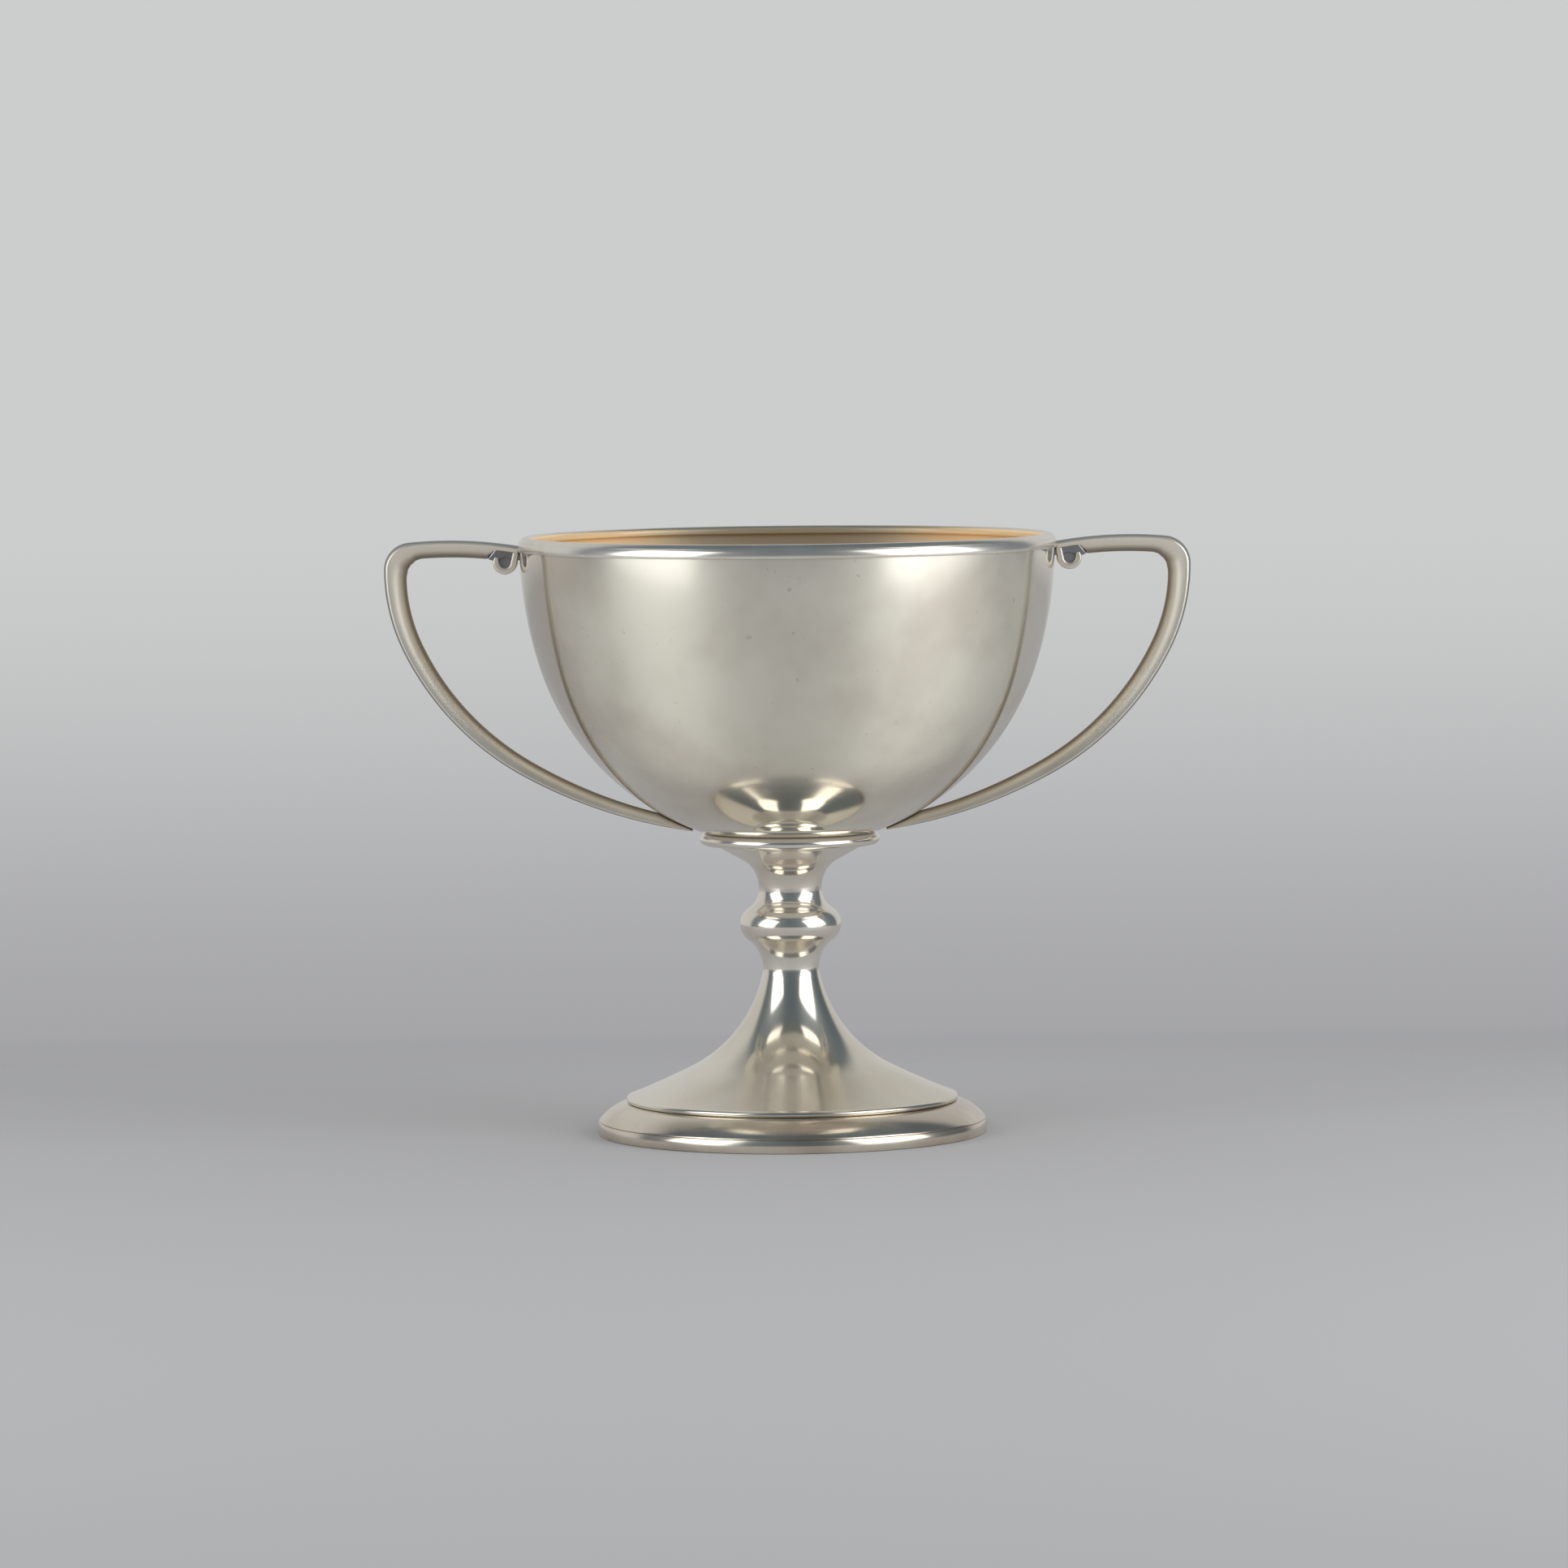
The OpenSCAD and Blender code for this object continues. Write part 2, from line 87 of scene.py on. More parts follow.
@dataclass
class Nodes:
    """Short ways to place and link nodes in one node tree."""

    tree: bpy.types.NodeTree

    def add(self, kind: str, **values: object) -> bpy.types.Node:
        """Adds a node and sets its properties.

        Args:
            kind: Blender's name of the node type.
            values: properties to set on it.

        Returns:
            The new node.
        """
        node = self.tree.nodes.new(kind)
        for name, value in values.items():
            setattr(node, name, value)
        return node

    def feed(self, socket: bpy.types.NodeSocket, source: object) -> None:
        """Links a socket to its source, or sets its value where the source is plain."""
        if isinstance(source, bpy.types.NodeSocket):
            self.tree.links.new(source, socket)
        else:
            socket.default_value = source

    def math(self, operation: str, a: object, b: object = 0.0, clamp: bool = False) -> bpy.types.NodeSocket:
        """Adds a Math node.

        Args:
            operation: the node's operation.
            a: first value or socket.
            b: second value or socket.
            clamp: keep the result within 0 and 1.

        Returns:
            The result's socket.
        """
        node = self.add("ShaderNodeMath", operation=operation, use_clamp=clamp)
        self.feed(node.inputs[0], a)
        self.feed(node.inputs[1], b)
        return node.outputs[0]

    def ramp(
        self, value: object, low: float, high: float, to_low: float = 0.0, to_high: float = 1.0
    ) -> bpy.types.NodeSocket:
        """Maps a value smoothly from one range to another.

        Args:
            value: the value or socket.
            low: where the result starts to change.
            high: where it stops.
            to_low: the result at low.
            to_high: the result at high.

        Returns:
            The result's socket.
        """
        node = self.add("ShaderNodeMapRange", interpolation_type="SMOOTHSTEP")
        self.feed(node.inputs["Value"], value)
        for name, number in (("From Min", low), ("From Max", high), ("To Min", to_low), ("To Max", to_high)):
            self.feed(node.inputs[name], number)
        return node.outputs["Result"]

    def mix(self, factor: object, a: object, b: object) -> bpy.types.NodeSocket:
        """Mixes two colours.

        Args:
            factor: 0 for the first, 1 for the second.
            a: first colour or socket.
            b: second colour or socket.

        Returns:
            The mixed colour's socket.
        """
        node = self.add("ShaderNodeMix", data_type="RGBA")
        self.feed(node.inputs[0], factor)
        self.feed(node.inputs[6], a)
        self.feed(node.inputs[7], b)
        return node.outputs[2]

    def noise(self, vector: object, scale: object, detail: float, roughness: float = 0.5) -> bpy.types.NodeSocket:
        """Adds a Noise texture.

        Args:
            vector: its coordinates.
            scale: its scale, a number or socket.
            detail: how many finer layers it has.
            roughness: the weight of the finer layers.

        Returns:
            The noise value's socket.
        """
        node = self.add("ShaderNodeTexNoise")
        self.feed(node.inputs["Vector"], vector)
        self.feed(node.inputs["Scale"], scale)
        self.feed(node.inputs["Detail"], detail)
        self.feed(node.inputs["Roughness"], roughness)
        return node.outputs["Fac"]

    def stretch(self, vector: object, rotation: Sequence[float], scale: Sequence[float]) -> bpy.types.NodeSocket:
        """Turns and stretches coordinates.

        Args:
            vector: the coordinates.
            rotation: turn about X, Y and Z in radians.
            scale: stretch along X, Y and Z.

        Returns:
            The changed coordinates' socket.
        """
        node = self.add("ShaderNodeMapping")
        self.feed(node.inputs["Vector"], vector)
        self.feed(node.inputs["Rotation"], rotation)
        self.feed(node.inputs["Scale"], scale)
        return node.outputs["Vector"]

    def split(self, vector: object) -> bpy.types.bpy_prop_collection:
        """Takes a vector apart.

        Args:
            vector: the vector's socket.

        Returns:
            The sockets X, Y and Z.
        """
        node = self.add("ShaderNodeSeparateXYZ")
        self.feed(node.inputs[0], vector)
        return node.outputs

    def group(self, tree: bpy.types.NodeTree, vector: object, **values: float) -> bpy.types.bpy_prop_collection:
        """Places a shared effect.

        Args:
            tree: the effect's node group.
            vector: its coordinates.
            values: its other inputs.

        Returns:
            Its outputs.
        """
        node = self.add("ShaderNodeGroup", node_tree=tree)
        self.feed(node.inputs["Vector"], vector)
        for name, value in values.items():
            node.inputs[name].default_value = value
        return node.outputs


def rgba(colour: Colour) -> tuple[float, float, float, float]:
    """A colour with full opacity."""
    return (*colour, 1.0)


# Shared surface effects, each a node group that is built once


class EffectGroups:
    """Builds the shared node groups and hands them out."""

    scratch_sets = ((0.35, 0.2, 1.0), (1.5, -0.5, 1.37), (2.6, 0.9, 0.83))
    scratch_stretch: Place = (24.0, 900.0, 60.0)
    scratch_line: Point = (0.62, 0.74)
    patch_scale = 42.0
    patch_share = 0.45
    patch_edge: Point = (0.2, 0.5)
    cloud_edge: Point = (0.36, 0.68)
    spot_scale = 420.0
    spot_edge: Point = (0.70, 0.80)
    smear_turn: Place = (0.2, 0.5, 0.9)
    smear_stretch: Place = (38.0, 16.0, 24.0)
    smear_edge: Point = (0.4, 0.7)

    def __init__(self) -> None:
        """Builds every group."""
        self.scratches = self._scratches()
        self.tarnish = self._tarnish()
        self.handling = self._handling()

    @staticmethod
    def _group(
        name: str, inputs: Iterable[tuple[str, float | None]], outputs: Iterable[str]
    ) -> tuple[bpy.types.NodeTree, Nodes, bpy.types.Node, bpy.types.Node]:
        """Makes an empty group with its sockets.

        Args:
            name: the group's name.
            inputs: name and default of each input, with no default for coordinates.
            outputs: names of the value outputs.

        Returns:
            The tree, its helper, and its input and output nodes.
        """
        tree = bpy.data.node_groups.new(name, "ShaderNodeTree")
        for label, default in inputs:
            kind = "NodeSocketVector" if default is None else "NodeSocketFloat"
            socket = tree.interface.new_socket(label, in_out="INPUT", socket_type=kind)
            if default is not None:
                socket.default_value = default
        for label in outputs:
            tree.interface.new_socket(label, in_out="OUTPUT", socket_type="NodeSocketFloat")
        nodes = Nodes(tree)
        return tree, nodes, nodes.add("NodeGroupInput"), nodes.add("NodeGroupOutput")

    def _scratches(self) -> bpy.types.NodeTree:
        """Fine cleaning scratches in three directions: a height and a mask.

        Returns:
            The group.
        """
        tree, n, given, out = self._group(
            "fine_scratches", (("Vector", None), ("Scale", 1.0), ("Density", 0.5)), ("Height", "Mask")
        )
        total: object = 0.0
        for turn, tilt, finer in self.scratch_sets:
            stretch = tuple(share * finer for share in self.scratch_stretch)
            lines = n.stretch(given.outputs["Vector"], (tilt, turn * 0.4, turn), stretch)
            thin = n.noise(lines, given.outputs["Scale"], 2.0, 0.6)
            total = n.math("MAXIMUM", total, n.ramp(thin, *self.scratch_line))
        patch = n.noise(given.outputs["Vector"], self.patch_scale, 2.0)
        limit = n.math("SUBTRACT", 1.0, given.outputs["Density"])
        patch = n.math("SUBTRACT", patch, n.math("MULTIPLY", limit, self.patch_share))
        shown = n.math("MULTIPLY", total, n.ramp(patch, *self.patch_edge))
        n.feed(out.inputs["Height"], n.math("MULTIPLY", shown, -1.0))
        n.feed(out.inputs["Mask"], shown)
        return tree

    def _tarnish(self) -> bpy.types.NodeTree:
        """Soft warm clouds of tarnish with small spots: two masks.

        Returns:
            The group.
        """
        tree, n, given, out = self._group(
            "tarnish_clouds", (("Vector", None), ("Scale", 30.0), ("Amount", 0.5)), ("Clouds", "Spots")
        )
        wide = n.noise(given.outputs["Vector"], given.outputs["Scale"], 4.0, 0.55)
        clouds = n.math("MULTIPLY", n.ramp(wide, *self.cloud_edge), given.outputs["Amount"])
        small = n.noise(given.outputs["Vector"], self.spot_scale, 2.0, 0.5)
        spots = n.math("MULTIPLY", n.ramp(small, *self.spot_edge), given.outputs["Amount"])
        n.feed(out.inputs["Clouds"], clouds)
        n.feed(out.inputs["Spots"], spots)
        return tree

    def _handling(self) -> bpy.types.NodeTree:
        """Faint smears from hands and cloths: a mask for the roughness.

        Returns:
            The group.
        """
        tree, n, given, out = self._group("handling_smears", (("Vector", None), ("Amount", 0.5)), ("Smear",))
        drawn = n.stretch(given.outputs["Vector"], self.smear_turn, self.smear_stretch)
        smear = n.noise(drawn, 1.0, 5.0, 0.62)
        n.feed(out.inputs["Smear"], n.math("MULTIPLY", n.ramp(smear, *self.smear_edge), given.outputs["Amount"]))
        return tree


# Finishes, with the shares and limits of their wear and of their painted shade and reflections; depths are
# millimetres from a finish's own height

SPOT_DARKNESS = 0.55
SPOT_SHARE = 0.5
SCRATCH_SHARE = 0.6
SCRATCH_HEIGHT = 0.00004
CREVICE_ROUGHNESS = 0.2
SHELTERED = (0.25, 0.70)
INNER_SIDE = (0.50, 0.95)
OUTER_EDGE = (0.10, 0.22)
GRAZING = (0.35, 0.75)
# Limits of the painted dark reflection in the gilding.
DARK_REFLECTION_SIDES = 0.4
DARK_REFLECTION_DEPTH = (-12.0, 8.0)
CLEAR_DEPTH = (-4.0, 14.0)
CLEAR_FACING = (0.40, 0.72)
CLEAR_AT_EDGE = 0.1
CLEAR_HAZE = 0.12
CLEAR_ROUGHNESS = 0.3
UPRIGHT = 0.25


@dataclass(frozen=True)
class MetalFinish:
    """A polished metal with a haze of fine wear, scratches, smears and tarnish, and painted shade with tarnish in
    its crevices.

    Attributes:
        name: the material's name.
        colour: the clean metal.
        tarnish_colour: the metal under full tarnish.
        roughness: of the polished skin, where it is clean.
        roughness_worn: of the polished skin, where it is worn.
        tarnish: strength of the tarnish.
        tarnish_scale: clouds of tarnish to the metre.
        scratch: density of the cleaning scratches.
        bump: depth of the scratches.
        smear: strength of the smears from hands.
        haze: share of the satin skin.
        haze_roughness: roughness of the satin skin.
        drawn: how far the satin skin spreads light up and down.
        clear_below: height under which the satin ends, in millimetres.
        crevice: reach of the painted shade and tarnish in crevices, in millimetres.
        crevice_colour: the colour of the painted shade and tarnish in crevices.
        crevice_tarnish_and_shade: strength of that painted shade and tarnish.
        film: share of the satin skin that is dull.
        inside: strength of the painted shade, a brown, on a handle's inner side.
        inner_shade_colour: the colour of that painted shade.
        outside: strength of the painted dark reflection on a handle's outer edge, seen at a low angle.
        edge_reflection_colour: the colour of that painted reflection.
        dark_reflection_half: half the width of the painted dark reflection in the gilding, in millimetres.
        dark_reflection_above: height above which it is painted, in millimetres.
        dark_reflection_colour: the colour of that painted dark reflection.
    """

    name: str
    colour: Colour
    tarnish_colour: Colour
    roughness: float
    roughness_worn: float
    tarnish: float
    tarnish_scale: float
    scratch: float
    bump: float
    smear: float
    haze: float
    haze_roughness: float
    drawn: float = 0.0
    clear_below: float = 0.0
    crevice: float = 1.0
    crevice_colour: Colour = (0.15, 0.12, 0.085)
    crevice_tarnish_and_shade: float = 0.8
    film: float = 0.0
    inside: float = 0.0
    inner_shade_colour: Colour = (0.22, 0.17, 0.11)
    outside: float = 0.0
    edge_reflection_colour: Colour = (0.13, 0.145, 0.15)
    dark_reflection_half: float = 0.0
    dark_reflection_above: float = 0.0
    dark_reflection_colour: Colour = (0.29, 0.26, 0.19)

    def material(self, groups: EffectGroups) -> bpy.types.Material:
        """Builds the material.

        Args:
            groups: the shared effects.

        Returns:
            The material.
        """
        made = bpy.data.materials.new(self.name)
        made.use_nodes = True
        made.diffuse_color = rgba(self.colour)
        made.node_tree.nodes.clear()
        n = Nodes(made.node_tree)
        place = n.add("ShaderNodeTexCoord").outputs["Object"]
        tarnish = n.group(groups.tarnish, place, Scale=self.tarnish_scale, Amount=self.tarnish)
        scratch = n.group(groups.scratches, place, Scale=1.0, Density=self.scratch)
        smears = n.group(groups.handling, place, Amount=self.smear)
        crevice_tarnish_and_shade = self._crevice_tarnish_and_shade(n)
        colour = self._colour(n, place, tarnish, crevice_tarnish_and_shade)

        spots = n.math("MULTIPLY", tarnish["Spots"], SPOT_SHARE)
        worn = n.math("MAXIMUM", smears["Smear"], n.math("MULTIPLY", scratch["Mask"], SCRATCH_SHARE))
        worn = n.math("MAXIMUM", worn, spots, clamp=True)
        rough = n.ramp(worn, 0.0, 1.0, self.roughness, self.roughness_worn)
        rough = n.math("ADD", rough, n.math("MULTIPLY", crevice_tarnish_and_shade, CREVICE_ROUGHNESS))

        bump = n.add("ShaderNodeBump")
        bump.inputs["Strength"].default_value = self.bump
        bump.inputs["Distance"].default_value = SCRATCH_HEIGHT
        n.feed(bump.inputs["Height"], scratch["Height"])
        blend = n.add("ShaderNodeMixShader")
        blend.inputs[0].default_value = self.haze
        if self.clear_below:
            satin = self._satin(n, place)
            n.feed(blend.inputs[0], n.ramp(satin, 0.0, 1.0, self.haze * CLEAR_HAZE, self.haze))
            rough = n.math("MULTIPLY", rough, n.ramp(satin, 0.0, 1.0, CLEAR_ROUGHNESS, 1.0))
        skins = ((rough, 0.0, 0.0), (self.haze_roughness, self.drawn, self.film))
        for socket, (roughness, drawn, film) in zip(blend.inputs[1:], skins):
            shader = n.add("ShaderNodeBsdfPrincipled")
            shader.inputs["Metallic"].default_value = 1.0 - film
            shader.inputs["Anisotropic"].default_value = drawn
            if drawn:
                shader.inputs["Anisotropic Rotation"].default_value = UPRIGHT
                round_axis = n.add("ShaderNodeTangent", direction_type="RADIAL", axis="Z")
                n.feed(shader.inputs["Tangent"], round_axis.outputs[0])
            n.feed(shader.inputs["Base Color"], colour)
            n.feed(shader.inputs["Roughness"], roughness)
            n.feed(shader.inputs["Normal"], bump.outputs["Normal"])
            n.feed(socket, shader.outputs[0])
        n.feed(n.add("ShaderNodeOutputMaterial").inputs["Surface"], blend.outputs[0])
        return made

    def _crevice_tarnish_and_shade(self, n: Nodes) -> object:
        """The mask of the painted shade and tarnish in crevices, found by ambient occlusion.

        Args:
            n: the material's nodes.

        Returns:
            The mask's socket, or 0 where the finish has none.
        """
        if not self.crevice_tarnish_and_shade:
            return 0.0
        # Ambient occlusion finds the crevices that get the painted shade and tarnish.
        shelter = n.add("ShaderNodeAmbientOcclusion", samples=16)
        shelter.inputs["Distance"].default_value = self.crevice * MM
        return n.ramp(shelter.outputs["AO"], *SHELTERED, self.crevice_tarnish_and_shade, 0.0)

    def _colour(
        self, n: Nodes, place: object, tarnish: bpy.types.bpy_prop_collection, crevice_tarnish_and_shade: object
    ) -> bpy.types.NodeSocket:
        """The metal's colour, with its tarnish and the painted shade and reflections that darken it.

        Args:
            n: the material's nodes.
            place: the piece's coordinates.
            tarnish: the masks of the tarnish.
            crevice_tarnish_and_shade: the mask of the painted shade and tarnish in crevices.

        Returns:
            The colour's socket.
        """
        colour = n.mix(tarnish["Clouds"], rgba(self.colour), rgba(self.tarnish_colour))
        dark = tuple(c * SPOT_DARKNESS for c in self.tarnish_colour)
        colour = n.mix(n.math("MULTIPLY", tarnish["Spots"], SPOT_SHARE), colour, rgba(dark))
        if self.crevice_tarnish_and_shade:
            # Painted shade, with tarnish, darkens the crevices that ambient occlusion finds.
            colour = n.mix(crevice_tarnish_and_shade, colour, rgba(self.crevice_colour))
        if self.inside:
            across = n.split(n.add("ShaderNodeTexCoord").outputs["UV"])["Y"]
            # Painted shade, a brown, on the handle's inner side.
            colour = n.mix(n.ramp(across, *INNER_SIDE, 0.0, self.inside), colour, rgba(self.inner_shade_colour))
            # A painted dark reflection along the handle's outer edge, seen at low angles.
            grazing = n.ramp(n.add("ShaderNodeLayerWeight").outputs["Facing"], *GRAZING)
            outer = n.math("MULTIPLY", n.ramp(across, *OUTER_EDGE, self.outside, 0.0), grazing)
            colour = n.mix(outer, colour, rgba(self.edge_reflection_colour))
        if self.dark_reflection_half:
            # A painted dark reflection darkens the gilding's middle, front and back, below the mouth.
            sides = n.split(place)
            half = self.dark_reflection_half * MM
            painted_reflection = n.ramp(n.math("ABSOLUTE", sides["X"]), half * DARK_REFLECTION_SIDES, half, 1.0, 0.0)
            low, high = ((self.dark_reflection_above + d) * MM for d in DARK_REFLECTION_DEPTH)
            painted_reflection = n.math("MULTIPLY", painted_reflection, n.ramp(sides["Z"], low, high))
            colour = n.mix(painted_reflection, colour, rgba(self.dark_reflection_colour))
        return colour

    def _satin(self, n: Nodes, place: object) -> bpy.types.NodeSocket:
        """The mask of the satin skin, which ends low on the bowl and thins out towards its sides.

        Args:
            n: the material's nodes.
            place: the piece's coordinates.

        Returns:
            The mask's socket.
        """
        low, high = ((self.clear_below + d) * MM for d in CLEAR_DEPTH)
        satin = n.ramp(n.split(place)["Z"], low, high)
        facing = n.add("ShaderNodeLayerWeight").outputs["Facing"]
        return n.math("MULTIPLY", satin, n.ramp(facing, *CLEAR_FACING, 1.0, CLEAR_AT_EDGE))


class Finishes:
    """Every finish of the cup, each built once."""

    # Each finish's crevice settings set the painted shade and tarnish in its crevices.
    bowl_silver = MetalFinish(
        "satin_worn_silver", (0.92, 0.88, 0.765), (0.72, 0.65, 0.555),
        0.20, 0.28, 0.8, 24.0, 0.5, 0.06, 0.8, 0.74, 0.63,
        drawn=0.8, clear_below=91.0, film=0.22,
    )
    rim_silver = MetalFinish(
        "polished_rim_silver", (0.90, 0.86, 0.78), (0.72, 0.65, 0.54),
        0.15, 0.24, 0.6, 40.0, 0.4, 0.05, 0.7, 0.4, 0.4,
        crevice=0.9, film=0.15,
    )
    stem_silver = MetalFinish(
        "bright_turned_silver", (0.92, 0.88, 0.80), (0.78, 0.68, 0.54),
        0.11, 0.18, 0.5, 34.0, 0.45, 0.06, 0.7, 0.22, 0.45,
        crevice_colour=(0.42, 0.36, 0.27), crevice_tarnish_and_shade=0.25,
    )
    foot_silver = MetalFinish(
        "yellowed_turned_silver", (0.87, 0.82, 0.71), (0.70, 0.61, 0.48),
        0.11, 0.19, 0.55, 30.0, 0.45, 0.05, 0.7, 0.26, 0.42,
        drawn=0.6, crevice=0.5, crevice_tarnish_and_shade=0.12,
    )
    base_silver = MetalFinish(
        "tarnished_base_silver", (0.83, 0.76, 0.64), (0.58, 0.49, 0.40),
        0.12, 0.26, 0.75, 38.0, 0.5, 0.05, 0.8, 0.3, 0.4,
        crevice=0.6, crevice_tarnish_and_shade=0.15,
    )
    # The handle's inside setting paints shade on its inner side; its outside setting paints a dark reflection along
    # its outer edge.
    handle_silver = MetalFinish(
        "handled_silver", (0.88, 0.82, 0.71), (0.66, 0.57, 0.45),
        0.30, 0.36, 0.5, 30.0, 0.2, 0.0, 0.6, 0.55, 0.48,
        crevice_tarnish_and_shade=0.0, film=0.4, inside=0.85, outside=0.9,
    )
    # Darkened silver for the scroll's sunk eye and neck: painted shade, near black in their crevices.
    shaded_sunk_silver = MetalFinish(
        "sunk_shade_painted_silver", (0.40, 0.40, 0.41), (0.24, 0.21, 0.18),
        0.30, 0.42, 0.6, 90.0, 0.2, 0.0, 0.5, 0.4, 0.6,
        crevice=1.6, crevice_colour=(0.06, 0.05, 0.04),
    )
    # The gilding's darker middle, front and back below the mouth, is a painted dark reflection.
    gilding = MetalFinish(
        "worn_gilding", (0.97, 0.74, 0.45), (0.86, 0.65, 0.40),
        0.12, 0.22, 0.5, 24.0, 0.4, 0.06, 0.8, 0.85, 0.45,
        film=0.85, dark_reflection_half=54.0, dark_reflection_above=143.0,
    )
    fixing_steel = MetalFinish(
        "turned_steel", (0.55, 0.56, 0.58), (0.34, 0.31, 0.28),
        0.28, 0.42, 0.5, 90.0, 0.6, 0.25, 0.6, 0.2, 0.5,
    )

    def __init__(self) -> None:
        """Builds the shared effects; materials are made when first asked for."""
        self._groups = EffectGroups()
        self._made: dict[str, bpy.types.Material] = {}

    def get(self, finish: MetalFinish) -> bpy.types.Material:
        """The finish's material, built once."""
        if finish.name not in self._made:
            self._made[finish.name] = finish.material(self._groups)
        return self._made[finish.name]


# Shapes


@dataclass
class Outline:
    """A half-section in the radius and height plane, in millimetres, drawn point by point."""

    points: list[Point] = field(default_factory=list)

    def to(self, r: float, z: float, steps: int = 1) -> "Outline":
        """Draws a straight line.

        Args:
            r: radius of its end.
            z: height of its end.
            steps: how many pieces it is cut in.

        Returns:
            This outline.
        """
        if self.points:
            r0, z0 = self.points[-1]
            self.points += [(r0 + (r - r0) * k / steps, z0 + (z - z0) * k / steps) for k in range(1, steps + 1)]
        else:
            self.points.append((r, z))
        return self

    def arc(self, centre: Point, radius: float, start: float, end: float, steps: int) -> "Outline":
        """Draws an arc.

        Args:
            centre: its centre.
            radius: its radius.
            start: its first angle in degrees, from the outward level.
            end: its last angle in degrees.
            steps: how many pieces it is cut in.

        Returns:
            This outline.
        """
        for k in range(steps + 1):
            a = math.radians(start + (end - start) * k / steps)
            p = (centre[0] + radius * math.cos(a), centre[1] + radius * math.sin(a))
            if not self.points or math.dist(p, self.points[-1]) > SAME_POINT:
                self.points.append(p)
        return self


def new_piece(
    name: str, mesh: bpy.types.Mesh, materials: Sequence[bpy.types.Material], slot: str, *nodes: str
) -> bpy.types.Object:
    """Puts a mesh into the scene as a piece of the cup.

    Args:
        name: the piece's name.
        mesh: its mesh.
        materials: its finishes, in the order of the mesh's material numbers.
        slot: the record's slot of its finish; not used.
        nodes: the solids that it stands for.

    Returns:
        The piece.
    """
    piece = bpy.data.objects.new(name, mesh)
    bpy.context.scene.collection.objects.link(piece)
    for material in materials:
        mesh.materials.append(material)
    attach(piece, BODY)
    if nodes:
        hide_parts(*nodes)
    return piece


def finished(name: str, bm: bmesh.types.BMesh, angle: float) -> bpy.types.Mesh:
    """Makes a mesh of drawn faces, with its normals outwards and smooth shading.

    Args:
        name: the mesh's name.
        bm: the drawn faces, which are used up.
        angle: in degrees; sharper edges stay sharp.

    Returns:
        The mesh.
    """
    bmesh.ops.recalc_face_normals(bm, faces=bm.faces)
    mesh = bpy.data.meshes.new(name)
    bm.to_mesh(mesh)
    bm.free()
    mesh.polygons.foreach_set("use_smooth", [True] * len(mesh.polygons))
    mesh.set_sharp_from_angle(angle=math.radians(angle))
    return mesh


def bridge(bm: bmesh.types.BMesh, a: Sequence[bmesh.types.BMVert], b: Sequence[bmesh.types.BMVert]) -> None:
    """Joins two rings of equally many points by a row of faces."""
    for k in range(len(a)):
        m = (k + 1) % len(a)
        bm.faces.new((a[k], a[m], b[m], b[k]))


def turned(name: str, outline: Outline, around: int = 240, second: range = range(0)) -> bpy.types.Mesh:
    """Turns a closed outline round the cup's axis.

    Args:
        name: the mesh's name.
        outline: the half-section, which closes on itself.
        around: how many faces go round.
        second: the outline's pieces that take the second finish.

    Returns:
        The mesh.
    """
    bm = bmesh.new()
    rings: list[list[bmesh.types.BMVert]] = []
    for r, z in outline.points:
        if r < ON_AXIS:
            rings.append([bm.verts.new((0.0, 0.0, z * MM))])
        else:
            turns = [2 * math.pi * k / around for k in range(around)]
            rings.append([bm.verts.new((r * MM * math.cos(a), r * MM * math.sin(a), z * MM)) for a in turns])
    count = len(rings)
    for i in range(count):
        a, b = rings[i], rings[(i + 1) % count]
        if len(a) == 1 and len(b) == 1:
            continue
        for k in range(around):
            m = (k + 1) % around
            corners = [a[k % len(a)], a[m % len(a)], b[m % len(b)], b[k % len(b)]]
            face = bm.faces.new(list(dict.fromkeys(corners)))
            face.material_index = 1 if i in second else 0
    return finished(name, bm, TURNED_EDGE)


def swept(name: str, rings: Sequence[Sequence[Vector]], across: Sequence[float] = ()) -> bpy.types.Mesh:
    """Joins rings of points into a closed skin with a fan on each end.

    Args:
        name: the mesh's name.
        rings: rings with equally many points each, in metres.
        across: where each point of a ring lies between the outer edge and the inner one, for the finish.

    Returns:
        The mesh.
    """
    bm = bmesh.new()
    rows = [[bm.verts.new(p) for p in ring] for ring in rings]
    n = len(rows[0])
    for a, b in zip(rows, rows[1:]):
        bridge(bm, a, b)
    for row in (rows[0], rows[-1]):
        middle = bm.verts.new(sum((v.co for v in row), Vector()) / n)
        for k in range(n):
            bm.faces.new((row[k], row[(k + 1) % n], middle))
    if across:
        layer = bm.loops.layers.uv.new("across")
        place = {vert: across[k] for row in rows for k, vert in enumerate(row)}
        for face in bm.faces:
            for loop in face.loops:
                loop[layer].uv = (0.5, place.get(loop.vert, 0.5))
    return finished(name, bm, SWEPT_EDGE)


def joined(name: str, *parts: bpy.types.Mesh) -> bpy.types.Mesh:
    """Puts several meshes into one.

    Args:
        name: the new mesh's name.
        parts: the meshes, which are used up.

    Returns:
        The mesh.
    """
    bm = bmesh.new()
    for part in parts:
        bm.from_mesh(part)
        bpy.data.meshes.remove(part)
    mesh = bpy.data.meshes.new(name)
    bm.to_mesh(mesh)
    bm.free()
    return mesh


